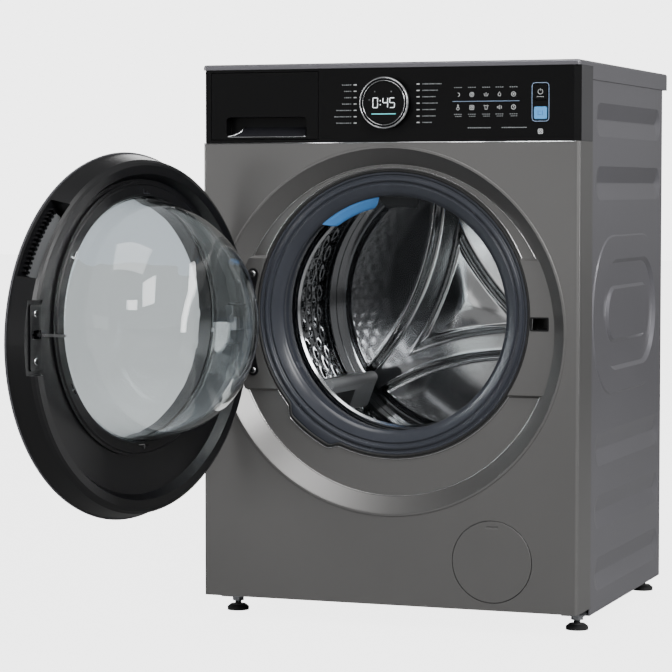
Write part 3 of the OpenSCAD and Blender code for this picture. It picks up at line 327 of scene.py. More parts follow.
def perforated_steel():
    """Perforated stainless drum sheet: bright metal with rows of small punched holes. The holes are not cut:
    each is a near-black, rough spot, painted shade standing in for the dark seen through the opening. The
    holes are 3 mm across on a 12 mm grid, drawn 4 mm across so that they show, and lie between the beads."""
    mat, tree, shader = fresh("perforated_stainless", Metallic=1.0)
    uv = put(tree, "ShaderNodeUVMap", uv_map="UVMap").outputs["UV"]
    cells = put(tree, "ShaderNodeVectorMath", {0: uv, 1: (120, 120, 0)}, operation="MULTIPLY")
    part = put(tree, "ShaderNodeVectorMath", {0: cells.outputs[0]}, operation="FRACTION")
    middle = put(tree, "ShaderNodeVectorMath", {0: part.outputs[0], 1: (0.5, 0.5, 0)}, operation="SUBTRACT")
    away = put(tree, "ShaderNodeVectorMath", {0: middle.outputs[0]}, operation="LENGTH")
    depth = put(tree, "ShaderNodeSeparateXYZ", {0: uv}).outputs["Y"]
    zone = put(tree, "ShaderNodeMath", {0: depth, 1: 0.174, 2: 0.073}, operation="COMPARE")
    plain = put(tree, "ShaderNodeMath", {0: 1.0, 1: zone.outputs[0]}, operation="SUBTRACT")
    far = put(tree, "ShaderNodeMath", {0: away.outputs["Value"], 1: plain.outputs[0]}, operation="ADD")
    hole = put(tree, "ShaderNodeMapRange", {"Value": far.outputs[0], "From Min": 0.15, "From Max": 0.19})
    # near-black where the holes are: painted shade in place of the open holes
    tint = put(tree, "ShaderNodeMix", {"Factor": hole.outputs["Result"], "A": colour("#08080a"),
                                       "B": colour("#8b8d90")}, data_type="RGBA")
    tree.links.new(tint.outputs["Result"], shader.inputs["Base Color"])
    rough = put(tree, "ShaderNodeMapRange", {"Value": hole.outputs["Result"], "To Min": 0.7, "To Max": 0.05})
    tree.links.new(rough.outputs["Result"], shader.inputs["Roughness"])
    return mat


def rubber(name, low, high, rough, grain_mm):
    """Moulded EPDM rubber: matt with a soft sheen and talc-like mottling."""
    mat, tree, shader = fresh(name, IOR=1.52, Sheen_Weight=0.15, Sheen_Roughness=0.4)
    coords = vary(tree, shader, low, high, 40, rough, 0.06)
    grain(tree, shader, coords, grain_mm, 0.2, 0.08)
    return mat


def clear_glass(name, tint):
    """Pressed borosilicate glass: clear, with very slight waviness from the mould."""
    mat, tree, shader = fresh(name, IOR=1.47, Transmission_Weight=1.0, Roughness=0.0)
    shader.inputs["Base Color"].default_value = colour(tint)
    coords = put(tree, "ShaderNodeTexCoord").outputs["Object"]
    grain(tree, shader, coords, 60.0, 0.25, 0.4, detail=1.0)
    return mat


def lit(name, code, power):
    """Light behind a printed symbol: an even glow."""
    mat, tree, shader = fresh(name, Roughness=0.4)
    shader.inputs["Base Color"].default_value = colour(code)
    shader.inputs["Emission Color"].default_value = colour(code)
    shader.inputs["Emission Strength"].default_value = power
    return mat


def cast_weight():
    """Cast concrete counterweight: grey, pitted and dusty."""
    mat, tree, shader = fresh("cast_concrete")
    coords = vary(tree, shader, "#77746f", "#94908a", 18, 0.85, 0.08)
    grain(tree, shader, coords, 3.0, 0.6, 0.6, detail=6.0)
    return mat


FRONT = film_coated_steel()
# pale bright metal for the port's edge, far lighter than the sheet's graphite coat: a painted highlight
PORT_EDGE_HIGHLIGHT = bright_steel("port_edge_highlight", "#bcbcbd", "#c9c9ca", 0.2, 80.0, 0.05)
SIDES = cabinet_paint()
BEZEL = plastic("graphite_abs", "#3c3c3e", "#434345", 0.4, 0.9, 0.12)
GLOSS = plastic("black_acrylic_panel", "#060607", "#09090a", 0.34, 30.0, 0.02, ior=1.3)
BLACK = plastic("black_abs_satin", "#0b0b0d", "#101012", 0.34, 1.1, 0.12, ior=1.5)
RIM = plastic("graphite_door_paint", "#56565a", "#5f5f63", 0.3, 1.2, 0.1, coat=0.2)
DARK = plastic("dark_grey_polypropylene", "#3a3c3e", "#434547", 0.45, 1.3, 0.25)
WHITE = plastic("white_polypropylene", "#e3e3e0", "#eeeeeb", 0.4, 1.2, 0.2)
TUB = plastic("grey_glass_filled_pp", "#a9a9a4", "#b7b7b2", 0.5, 1.5, 0.3)
KEY = plastic("blue_translucent_key", "#4fa3ec", "#66b4f5", 0.25, 1.0, 0.05)
ZINC = zinc_plated()
STEEL = bright_steel("polished_stainless", "#b9bbbe", "#cfd1d3", 0.14)
CHROME = bright_steel("chromed_trim", "#d9dadc", "#e6e7e9", 0.12, 80.0, 0.05)
RUBBER = rubber("grey_epdm", "#30333a", "#393c45", 0.25, 1.4)
BLACK_RUBBER = rubber("black_epdm", "#101011", "#19191a", 0.6, 1.4)
BOWL = clear_glass("pressed_borosilicate", "#f4f8f8")
PANE = clear_glass("door_pane", "#e9eef0")
CONCRETE = cast_weight()
ALLOY = bright_steel("cast_aluminium", "#9b9c9e", "#adaeb0", 0.42)
COPPER = plastic("enamelled_copper", "#7d4420", "#95542a", 0.3, 1.0, 0.6, coat=0.4)
BOARD = plastic("lacquered_board", "#10391f", "#164a29", 0.3, 2.0, 0.15, coat=0.3)
PRINT = plastic("white_ink", "#c9cccd", "#d8dadb", 0.5, 1.0, 0.02)
TAG = plastic("blue_label", "#4b94e2", "#5ea4ee", 0.35, 1.2, 0.05)
COLLAR = bright_steel("black_chrome", "#2a2b2d", "#343537", 0.2)
DIM = plastic("grey_ink", "#85898b", "#8f9395", 0.5, 1.0, 0.02)
LINE = plastic("pale_blue_ink", "#8fa9cc", "#9ab3d4", 0.45, 1.0, 0.02)
DEEP_BLUE = plastic("deep_blue_ink", "#2f6fb8", "#3a7cc6", 0.45, 1.0, 0.02)
LIFTER = plastic("graphite_polypropylene", "#828587", "#8c8f91", 0.36, 1.3, 0.15)
GRIP = plastic("grey_grip_insert", "#7c7e80", "#87898b", 0.5, 0.9, 0.5)
SCOOP = plastic("black_abs_gloss", "#1c1c1f", "#232327", 0.22, 1.0, 0.05)
BACK_STEEL = bright_steel("pressed_stainless", "#c8c9ca", "#d4d5d6", 0.11, 60.0, 0.3)
# pale bright metal for the recess folds, lighter than the sheet's coat: a painted highlight
FOLD_HIGHLIGHT = bright_steel("sheet_fold_highlight", "#aeaead", "#bbbbba", 0.2, 80.0, 0.05)
DRUM_WALL = perforated_steel()
GLOW = lit("display_white", "#f2f7fb", 1.6)
TEAL = lit("display_teal", "#57c3c9", 1.6)

PAINT = {
    "front_panel": FRONT, "filter_cover": FRONT, "side_panel_left": SIDES, "side_panel_right": SIDES,
    "rear_panel": SIDES, "service_cover": SIDES, "worktop": SIDES, "rear_plugs": BLACK, "top_crossbar": ZINC,
    "base_tray": DARK, "foot_brackets": ZINC, "control_bezel": BEZEL, "fascia": GLOSS, "dial_face": GLOSS,
    "dial_ring": GLOSS, "power_button": GLOSS, "start_button": KEY, "control_board": BOARD,
    "drawer_front": GLOSS, "drawer_trim": CHROME, "drawer_tray": WHITE, "dispenser_housing": WHITE,
    "inlet_valve": WHITE, "fill_hose": BLACK_RUBBER, "filter_cap": BLACK, "drain_pump": DARK,
    "sump_hose": BLACK_RUBBER, "drain_outlet": DARK, "tub_front": TUB, "tub_rear": TUB,
    "counterweights": CONCRETE, "heater": STEEL, "tub_springs": ZINC, "dampers": DARK, "gasket": RUBBER,
    "gasket_clamp": STEEL, "bearings": STEEL, "stator": COPPER, "drum_shell": STEEL, "drum_front_ring": STEEL,
    "drum_back": STEEL, "lifters": LIFTER, "spider": ALLOY, "drum_shaft": STEEL, "rotor": ZINC,
    "door_lock": BLACK, "hinge_bracket": BLACK, "hinge_pin": ZINC, "hinge_arm": ZINC, "door_cover": RIM,
    "door_window": PANE, "door_frame": BLACK, "door_retainer": BLACK, "door_glass": BOWL,
    "latch_plate": BLACK, "latch_hook": CHROME,
}
for foot_name in ("front_left", "front_right", "rear_left", "rear_right"):
    PAINT["foot_" + foot_name] = BLACK_RUBBER
for node_name, node_mat in PAINT.items():
    node_mesh = frame["nodes"][node_name].data
    node_mesh.materials.clear()
    node_mesh.materials.append(node_mat)

# ------------------------------------------------------------------ drum and seal

def smooth_through(points, per):
    """Catmull-Rom curve through the rows of a table: on each span the cubic whose end slopes are half the
    difference of the neighbours, with the ends' slopes taken from a point mirrored beyond them."""
    pts = np.array(points, float)
    ext = np.vstack([2 * pts[0] - pts[1], pts, 2 * pts[-1] - pts[-2]])
    t = np.linspace(0, 1, per, endpoint=False)[:, None]
    spans = []
    for a, b, c, d in zip(ext[:-3], ext[1:-2], ext[2:-1], ext[3:]):
        spans.append(0.5 * (2 * b + (c - a) * t + (2 * a - 5 * b + 4 * c - d) * t ** 2
                            + (3 * b - a - 3 * c + d) * t ** 3))
    return np.vstack(spans + [pts[-1:]])


def gasket():
    """Rubber seal: an outline with its lip, ridges and folds goes round the drum's axis, and its rim swells
    out by bump(angle) at the lower left, where the water jet passes."""
    ridges = [[214, 25], [214, 22.4], [210.5, 21.8], [209.2, 24.6], [206.8, 24.6], [205.4, 21.2],
              [200.5, 21.0], [199.0, 24.8], [196.6, 25.2], [195.2, 22.6]]
    lip = [[183, 27.8], [178.2, 31.2], [177, 35], [178.5, 39.5], [184, 46], [184.5, 60], [182.0, 66],
           [184.5, 72], [184.5, 86]]
    folds = [[188, 86], [188, 56], [190, 50], [202, 50], [206.2, 54], [206.2, 75], [209.5, 75], [209.5, 62],
             [211, 60], [211, 36.5], [215, 32], [215, 27], [210.7, 26.4], [210.7, 25]]
    outline = rounded(ridges + lip + folds, 1.6, 4)
    reach = np.clip((outline[:, 0] - 210.5) / 3, 0, 1) * (outline[:, 1] < 25.5)
    bumped("gasket_seal", outline, reach, RUBBER, "grey_rubber", "gasket")
    # black ring at the seal's outer edge: painted shade of the dark gap between the seal and the port, not a
    # black part of the seal
    edge = circle(215.6, 23.2, 2.7, steps=10)
    bumped("gasket_shade_ring", edge, np.ones(len(edge)), BLACK_RUBBER, "black_rubber")
    # ring round the port: its round form catches real light, and its pale bright metal is a painted highlight
    # on the coated sheet's edge
    rim = circle(220.2, 24.6, 1.15, steps=8)
    bumped("port_rim_highlight", rim, np.ones(len(rim)), PORT_EDGE_HIGHLIGHT, "graphite_paint")


def bumped(name, outline, reach, mat, slot, *nodes):
    """Ring swept round the drum's axis whose outline points move out by reach times bump(angle): 11 mm
    between 225 and 243 degrees, easing to nothing over 5 degrees on both sides."""
    turn = full_turn(300)
    away = np.clip((np.abs(np.degrees(turn) - 234) - 9) / 5, 0, 1)
    bump = 11 * (1 - away ** 2 * (3 - 2 * away))
    grid = about_axis(outline[None, :, 0] + bump * reach[None, :], outline[None, :, 1], turn)
    finish_piece(outward(surface(name, grid, closed_u=True, closed_v=True)), "cabinet", slot, mat, *nodes)


def arc_strip(name, a0, a1, outer, inner, thick, ends=0.35, steps=40):
    """Curved strip between two circles round the drum's axis: across it runs a straight line from the outer
    to the inner [radius, depth], and towards both ends the inner edge closes up on the outer one."""
    angle = np.radians(np.linspace(a0, a1, steps))[:, None]
    along = np.linspace(-1, 1, steps)[:, None]
    full = np.clip((1 - np.abs(along)) / ends, 0.02, 1)
    width = full * (2 - full)
    across = np.array([0, 0.3, 0.7, 1, 1, 0.7, 0.3, 0])[None, :] * width
    lift = np.array([0, 0, 0, 0, 1, 1, 1, 1])[None, :] * thick + 0 * width
    radius = outer[0] + (inner[0] - outer[0]) * across
    depth = outer[1] + (inner[1] - outer[1]) * across + lift
    obj = surface(name, about_axis(radius, depth, angle), closed_v=True)
    cap_ends(obj, 8, steps)
    return outward(obj)


def drum_wall():
    """Drum shell: radius(depth) is the CAD shell's with its two beads, and inside, between the beads, pillows
    stand in by 3 mm times cos(angle) squared times sin(depth) squared, in rows set half a pillow apart and
    made uneven by a slow ripple."""
    cells, pitch = 44, 26.0
    mouth, last_row = 98.0, 372
    front_bead, back_bead = 138, 379
    pillow_start, pillow_end = 150, 366
    turn = full_turn(cells * 12)
    depth = np.concatenate([np.arange(mouth, last_row, 2.6), np.linspace(last_row, DRUM_END, 22)])[None, :]

    def bead(centre):
        return 4.0 * np.clip(1 - np.abs(depth - centre) / 6.5, 0, 1) ** 1.4

    inside = DRUM_R / MM - bead(front_bead) - 1.5 * bead(back_bead)
    row = (depth - pillow_start) / pitch
    fade = np.clip((depth - pillow_start) / 8, 0, 1) * np.clip((pillow_end - depth) / 8, 0, 1)
    wave = np.cos(cells * turn / 2 + np.pi / 2 * np.floor(row)) ** 2 * np.sin(np.pi * row) ** 2
    ripple = 0.6 * np.sin(9 * turn + row * 2.3) * np.sin(row * 4.1 + 31 * turn)
    inside = inside - (3.0 * wave + ripple * wave) * fade
    outside = DRUM_R / MM + SHELL_SHEET - 0.6 * bead(front_bead) - 0.6 * bead(back_bead)
    outside = np.broadcast_to(outside, inside.shape)
    radius = np.concatenate([inside, outside[:, ::-4]], axis=1)
    deep = np.broadcast_to(np.concatenate([depth, depth[:, ::-4]], axis=1), radius.shape)
    round_it, along = np.broadcast_to(turn / (2 * np.pi), radius.shape), deep * MM / (2 * np.pi * DRUM_R)
    uv = np.stack([round_it, along], axis=-1)
    obj = surface("drum_wall", about_axis(radius, deep, turn), closed_u=True, closed_v=True, uv=uv)
    finish_piece(obj, "drum", "stainless", DRUM_WALL, "drum_shell")


def drum_rear():
    """Drum's back plate: three channels run between the ends of neighbouring lifters along circles of
    481 mm radius that pass 68 mm from the shaft. The plate stands 15 mm forward outside them, with a ridge
    along both sides of each. Its middle is a dome with three lobes, and a flat ring joins it to the shell."""
    turn = full_turn(360)
    radius = np.concatenate([[0.0], np.linspace(2, DRUM_R / MM + SHELL_SHEET, 124)])[None, :]
    x, z = radius * np.cos(turn), radius * np.sin(turn)
    far, curve = 549.0, 481.0
    channel = np.zeros_like(x)
    edge = np.full_like(x, 1e9)
    for lifter in LIFTER_ANGLES:
        mid = np.radians(lifter + 60)
        away = np.hypot(x - far * np.cos(mid), z - far * np.sin(mid)) - curve
        channel = np.maximum(channel, 1 / (1 + np.exp((np.abs(away) - 20) / 1.5)))
        edge = np.minimum(edge, np.abs(np.abs(away) - 24.5))
    ridge = 2.2 * np.exp(-(edge / 2.6) ** 2)
    rim = 1 / (1 + np.exp((radius - 212) / 2.0))
    lobes = radius ** 2 / (radius ** 2 + 45 ** 2) * np.exp(-(radius / 110) ** 2)
    dome = 6.0 * np.exp(-(radius / 46) ** 2) + 2.0 * lobes * np.cos(3 * (turn - np.radians(LIFTER_ANGLES[0])))
    lift = ((15 + ridge + dome) * (1 - channel) + dome * 0.2 * channel) * rim
    sheet = 1.2
    front = DRUM_END - lift
    back = front + sheet
    ring = np.concatenate([radius, radius[:, ::-1]], axis=1)
    deep = np.concatenate([front, back[:, ::-1]], axis=1)
    obj = surface("drum_rear_plate", about_axis(ring, deep, turn), closed_u=True, closed_v=True)
    finish_piece(outward(obj), "drum", "stainless", BACK_STEEL, "drum_back")


def boxes(name, cells):
    """Blocks given by their eight corners, as one mesh."""
    faces = np.array([[0, 1, 2, 3], [7, 6, 5, 4], [0, 4, 5, 1], [1, 5, 6, 2], [2, 6, 7, 3], [3, 7, 4, 0]])
    cells = np.array(cells, float)
    verts = cells.reshape(-1, 3)
    quads = (faces[None] + 8 * np.arange(len(cells))[:, None, None]).reshape(-1, 4)
    mesh = bpy.data.meshes.new(name)
    mesh.from_pydata(verts.tolist(), [], quads.tolist())
    obj = bpy.data.objects.new(name, mesh)
    bpy.context.scene.collection.objects.link(obj)
    return outward(obj)


def block(lo, hi, place):
    """Corners of a block from lo to hi, each put in place by a function of x, y and z arrays."""
    x = np.array([lo[0], hi[0], hi[0], lo[0]] * 2, float)
    y = np.array([lo[1]] * 4 + [hi[1]] * 4, float)
    z = np.array([lo[2], lo[2], hi[2], hi[2]] * 2, float)
    return np.stack(place(x, y, z), axis=-1)


def front_place(x, y, z):
    """Millimetres counted from the front plane to the frame's metres."""
    return x * MM, FRONT_Y + y * MM, z * MM


def door_place(x, y, z):
    """As front_place, for a part drawn on the closed door and swung to the door's open angle."""
    dx, dy = x * MM - HINGE.x, FRONT_Y + y * MM - HINGE.y
    c, s = math.cos(DOOR_OPEN), math.sin(DOOR_OPEN)
    return HINGE.x + dx * c + dy * s, HINGE.y - dx * s + dy * c, z * MM


def lifter_grilles():
    """Grilles on each lifter, on its two flanks and its front end: a dark panel with raised slats across it.
    A flank's grille lies in the plane from the flank's foot to its crest."""
    panels, slats = [], []
    foot, crest = np.array([228.0, 31.0]), np.array([192.0, 10.0])
    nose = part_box("lifters")[0].y / MM - FRONT_Y / MM
    for base in LIFTER_ANGLES:
        a = math.radians(base)
        for side in (-1, 1):
            p0, p1 = foot * (1, side), crest * (1, side)
            up = (p1 - p0) / np.linalg.norm(p1 - p0)
            out = np.array([up[1], -up[0]]) * -side

            def place(s, d, w):
                r = (p0[0] + up[0] * s + out[0] * w)
                q = (p0[1] + up[1] * s + out[1] * w)
                return ((r * math.cos(a) - q * math.sin(a)) * MM, FRONT_Y + d * MM,
                        AXIS_Z + (r * math.sin(a) + q * math.cos(a)) * MM)

            panels.append(block((6, 172, -0.3), (34, 268, 0.35), place))
            slats += [block((8, 176 + 8.6 * k, 0.2), (32, 180.6 + 8.6 * k, 1.3), place) for k in range(11)]

        def end_place(s, d, w):
            return ((s * math.cos(a) - w * math.sin(a)) * MM, FRONT_Y + d * MM,
                    AXIS_Z + (s * math.sin(a) + w * math.cos(a)) * MM)

        panels.append(block((195, nose - 0.3, -19), (229, nose + 1, 19), end_place))
        slats += [block((197 + 4.2 * k, nose - 1.4, -17), (199.2 + 4.2 * k, nose, 17), end_place)
                  for k in range(8)]
    finish_piece(boxes("lifter_grille", panels), "drum", "dark_plastic", BLACK)
    finish_piece(boxes("lifter_slats", slats), "drum", "dark_plastic", LIFTER)


# ------------------------------------------------------------------ door

def bowl():
    """Glass bowl: each ring is an ellipse whose half width, half height and drop follow a smooth curve
    through the ring table, outside and 5 mm inside it, ending in a flat flange."""
    table = [[0, 1, 1, 0], [0.3, 0.98, 0.955, 0.1], [0.55, 0.935, 0.885, 0.3], [0.78, 0.83, 0.76, 0.6],
             [0.92, 0.68, 0.6, 0.85], [0.98, 0.5, 0.43, 1], [1, 0.26, 0.23, 1], [1, 0, 0, 1]]
    curve = smooth_through(table, 9)
    deep, wide, tall, drop = curve.T
    deep = np.minimum(deep, 1)
    radius, length, glass, y0 = 177.0, 130.0, 5.0, -15.5

    def shell(inset):
        return (np.maximum(radius * wide - inset * (wide > 0), 0),
                np.maximum(radius * tall - inset * (tall > 0), 0), y0 + (length - inset) * deep, 12 * drop)

    flange = [np.array([183.0, 178.5]), np.array([183.0, 178.5]), np.array([-15.2, -15.2]), np.zeros(2)]
    heel = [np.array([172.0, 183.0]), np.array([172.0, 183.0]), np.array([-18.4, -18.4]), np.zeros(2)]
    parts = [np.concatenate([f, o, i[::-1], h]) for f, o, i, h in zip(flange, shell(0), shell(glass), heel)]
    turn = full_turn(160)
    x = parts[0][None] * np.cos(turn)
    z = parts[1][None] * np.sin(turn) - parts[3][None] + AXIS_Z / MM
    y = np.broadcast_to(parts[2][None], x.shape)
    obj = outward(surface("glass_bowl", np.stack(door_place(x, y, z), axis=-1), closed_u=True, closed_v=True))
    finish_piece(obj, "door", "bowl_glass", BOWL, "door_glass")


def dial_collar():
    """Dial ring: a black body with a thin bright bezel on its front edge and a bright line inside that."""
    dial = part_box("dial_ring")
    centre = (dial[0].z + dial[1].z) / 2
    body = rounded([[31.6, 8.5], [36.4, 8.5], [36.4, -0.6], [39.0, -0.6], [39.0, -12.0], [37.2, -14.2],
                    [34.6, -14.2], [31.6, -13.4]], 0.6, 4)
    finish_piece(turned("dial_body", body, centre, 128), "dial", "black_gloss", COLLAR, "dial_ring")
    bezel = rounded([[36.2, -14.0], [36.6, -15.0], [37.6, -15.0], [38.9, -13.2], [38.9, -12.2]], 0.4, 4)
    finish_piece(turned("dial_bezel", bezel, centre, 128), "dial", "bright_chrome", CHROME)
    inner = circle(33.0, -13.9, 0.45, steps=8)
    finish_piece(turned("dial_inner_line", inner, centre, 128), "dial", "bright_chrome", CHROME)


def clip_marks():
    """Six bright corner-shaped clips round the bowl's retaining ring: each has a tab along the ring and one
    across it."""
    cells = []
    for deg in (32, 92, 152, 212, 272, 332):
        a = math.radians(deg)

        def place(s, d, w):
            r = 181.0 + w
            x, z = r * math.cos(a) - s * math.sin(a), AXIS_Z / MM + r * math.sin(a) + s * math.cos(a)
            return door_place(x, d, z)

        cells += [block((-7, -11.6, 0), (7, -10.9, 1.3), place),
                  block((-7, -11.6, 0), (-5.8, -10.9, 7), place)]
    finish_piece(boxes("clip_marks", cells), "door", "bright_chrome", CHROME)


def door_grip():
    """Grip at the door's edge: a grey insert that slopes across the pocket, and a row of black ribs beside
    it."""
    angle = np.radians(np.linspace(22.5, 47.5, 30))[:, None]
    radius = np.array([[228.5, 246.0, 246.0, 228.5]])
    depth = np.array([[-31.0, -37.0, -38.6, -38.6]])
    x, z = radius * np.cos(angle), DOOR_Z + radius * np.sin(angle)
    grid = np.stack(door_place(x, np.broadcast_to(depth, x.shape), z), axis=-1)
    pad = surface("grip_insert", grid, closed_v=True, smooth=False)
    cap_ends(pad, 4, 30)
    finish_piece(outward(pad), "door", "dark_plastic", GRIP)
    ribs = []
    for step in range(15):
        a = math.radians(23.4 + 1.65 * step)

        def place(s, d, w):
            return door_place(s * math.cos(a) - w * math.sin(a), d,
                              DOOR_Z + s * math.sin(a) + w * math.cos(a))

        ribs.append(block((247, -38.6, -1.6), (256, -32.5, 1.6), place))
    finish_piece(boxes("grip_ribs", ribs), "door", "black_plastic", BLACK)


def screw_heads(name, body, place, spots, height, facing, radius=5.2):
    """Domed heads with a dark cross, a black block on the dome that is painted shade for the cross recess:
    height(r) falls from its full value at the middle as a circle does, and the head stands along +depth when
    facing is 1 and along -depth when it is -1."""
    turn = full_turn(24)
    r = np.array([[radius, radius, radius * 0.86, radius * 0.6, radius * 0.3, 0.02, 0.02]])
    h = np.array([[0, 0.35, 0.62, 0.85, 0.97, 1.0, 0.0]]) * height
    recess_shades = []
    for number, (x, d, z) in enumerate(spots):
        grid = np.stack(place(x + r * np.cos(turn), d + facing * h + 0 * turn, z + r * np.sin(turn)), axis=-1)
        head = surface(f"{name}_{number}", grid, closed_u=True, closed_v=True)
        finish_piece(outward(head), body, "galvanised", CHROME)
        # black cross laid on the head: painted shade of the recessed cross, which is not cut
        top = sorted((d + facing * (height - 0.3), d + facing * (height + 0.15)))
        recess_shades += [block((x - 2.6, top[0], z - 0.6), (x + 2.6, top[1], z + 0.6), place),
                    block((x - 0.6, top[0], z - 2.6), (x + 0.6, top[1], z + 2.6), place)]
    finish_piece(boxes(name + "_recess_shade", recess_shades), body, "black_plastic", BLACK)


def fixing_screws():
    """Screws of the latch plate on the door, and of the hinge bracket on the cabinet."""
    plate_x, plate_y = 236, -13.9
    screw_heads("latch_screw", "door", door_place, [(plate_x, plate_y, 424), (plate_x, plate_y, 490)], 2.4, 1)
    bracket_x, bracket_y, middle, apart = -223, 17.0, 457, 74
    spots = [(bracket_x, bracket_y, middle + side * apart) for side in (-1, 1)]
    screw_heads("hinge_screw", "cabinet", front_place, spots, 2.3, -1, 4.8)


def fold_lines():
    """Tight folds of the front sheet round the door's recess, which catch the light: a bead at the top of its
    slope and one at the foot. Their rounded form catches real light, and their pale bright metal, lighter
    than the sheet's own coat, is a painted highlight."""
    for name, radius, depth, thick in (("recess_bead", 275.6, -0.2, 1.0), ("recess_fold", 250.4, 24.2, 0.9)):
        ring = circle(radius, depth, thick, steps=8)
        finish_piece(turned(name, ring, DOOR_Z * MM, 200), "cabinet", "graphite_paint", FOLD_HIGHLIGHT)


# ------------------------------------------------------------------ control panel marks

def bars(name, body, slot, mat, cells, y, shear=0.0):
    """Thin raised marks on the control panel: each is a rectangle [x, z, width, height] in mm, centred."""
    made = []
    for x, z, w, h in cells:
        corners = block((x - w / 2, y - PRINT_THICK, z - h / 2), (x + w / 2, y, z + h / 2), front_place)
        corners[:, 0] += shear * (corners[:, 2] - np.mean(corners[:, 2]))
        made.append(corners)
    finish_piece(boxes(name, made), body, slot, mat)


def outline_mark(name, body, slot, mat, shapes, y, wide):
    """Closed or open lines drawn as thin bands: each is a list of [x, z] points that the band runs along."""
    for number, (points, closed) in enumerate(shapes):
        pts = np.array(points, float)
        before = np.roll(pts, 1, 0) if closed else np.vstack([pts[:1], pts[:-1]])
        after = np.roll(pts, -1, 0) if closed else np.vstack([pts[1:], pts[-1:]])
        run = after - before
        run /= np.linalg.norm(run, axis=1)[:, None]
        side = np.stack([-run[:, 1], run[:, 0]], axis=-1) * wide / 2
        grid = []
        for offset, depth in ((side, y - PRINT_THICK), (-side, y - PRINT_THICK), (-side, y), (side, y)):
            p = pts + offset
            grid.append(np.stack(front_place(p[:, 0], np.full(len(p), depth), p[:, 1]), axis=-1))
        obj = surface(f"{name}_{number}", np.stack(grid, axis=1), closed_u=closed, closed_v=True,
                      smooth=False)
        if not closed:
            cap_ends(obj, 4, len(pts))
        finish_piece(outward(obj), body, slot, mat)


def circle(cx, cz, r, a0=0.0, a1=360.0, steps=28):
    """Points of a circle or arc in mm: [x, z] on the panel, or [radius, depth] for an outline."""
    a = np.radians(np.linspace(a0, a1, steps, endpoint=a1 - a0 < 360))
    return np.stack([cx + r * np.cos(a), cz + r * np.sin(a)], axis=-1)


def box_line(cx, cz, w, h, r):
    """Outline of a rounded rectangle, [x, z] in mm."""
    return rounded([[cx - w / 2, cz - h / 2], [cx + w / 2, cz - h / 2], [cx + w / 2, cz + h / 2],
                    [cx - w / 2, cz + h / 2]], r, 6)


SEGMENTS = {"0": "abcdef", "4": "bcfg", "5": "acdfg"}


def digit(char, x, z, w, h, t):
    """Strokes of one seven-segment figure, as [x, z, width, height]."""
    places = {"a": (0, h / 2, w, t), "g": (0, 0, w, t), "d": (0, -h / 2, w, t),
              "f": (-w / 2, h / 4, t, h / 2), "b": (w / 2, h / 4, t, h / 2),
              "e": (-w / 2, -h / 4, t, h / 2), "c": (w / 2, -h / 4, t, h / 2)}
    gap = 0.9
    return [(x + dx, z + dz, max(sw - gap, t), max(sh - gap, t)) for dx, dz, sw, sh in
            (places[k] for k in SEGMENTS[char])]


def sheet_line():
    """Turned edge of the front sheet, just under the control panel, following its flat front: its half-round
    form catches real light, and its chrome, brighter than the sheet's coat, is a painted highlight.
    """
    low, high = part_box("front_panel")
    half = (high.x - low.x) / 2 / MM - 6
    turn = np.radians(np.linspace(90, 270, 9))[None, :]
    x = np.array([[-half], [half]]) + 0 * turn
    y = 0.7 * np.cos(turn) + 0 * x
    z = high.z / MM - 0.9 + 0.9 * np.sin(turn) + 0 * x
    line = surface("front_sheet_edge_highlight", np.stack(front_place(x, y, z), axis=-1), closed_v=True)
    cap_ends(line, 9, 2)
    # chrome on the coated sheet's edge: painted highlight
    finish_piece(outward(line), "cabinet", "graphite_paint", CHROME)


def drawer_scoop():
    """Drawer's handle pocket: its floor slopes up to the back, and a bright bead runs along the lower lip and
    turns up the scoop's left side."""
    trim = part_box("drawer_trim")
    x0, x1 = trim[0].x / MM + 2, trim[1].x / MM - 2
    low = trim[0].z / MM + 1.6
    cells = [[[x0, 1, low], [x1, 1, low], [x1 - 5, 19, low + 15], [x0 + 21, 19, low + 15],
              [x0, 2, low - 1], [x1, 2, low - 1], [x1 - 5, 19.6, low + 14], [x0 + 21, 19.6, low + 14]]]
    floor = np.array(cells, float)
    floor = np.stack(front_place(floor[..., 0], floor[..., 1], floor[..., 2]), axis=-1)
    finish_piece(boxes("drawer_scoop", floor), "drawer", "black_gloss", SCOOP)
    path = smooth_through([[x1, 0.4, low], [x1 - 30, 0.4, low - 0.2], [x0 + 12, 0.4, low - 0.2],
                           [x0 + 1, 0.6, low + 0.4], [x0 + 11, 5, low + 3.4], [x0 + 18, 11, low + 8.6],
                           [x0 + 21, 17, low + 16]], 8)
    run = np.gradient(path, axis=0)
    run /= np.linalg.norm(run, axis=1)[:, None]
    side = np.cross(run, [0.0, -0.5, 0.86])
    side /= np.linalg.norm(side, axis=1)[:, None]
    up = np.cross(side, run)
    turn = np.radians(np.arange(0, 360, 45))[None, :, None]
    tube = path[:, None] + 0.85 * (np.cos(turn) * side[:, None] + np.sin(turn) * up[:, None])
    tube[..., 1] = np.maximum(tube[..., 1], -0.9)
    tube = np.stack(front_place(tube[..., 0], tube[..., 1], tube[..., 2]), axis=-1)
    bead = surface("drawer_lip", tube, closed_v=True)
    cap_ends(bead, 8, len(path))
    finish_piece(outward(bead), "drawer", "bright_chrome", CHROME, "drawer_trim")


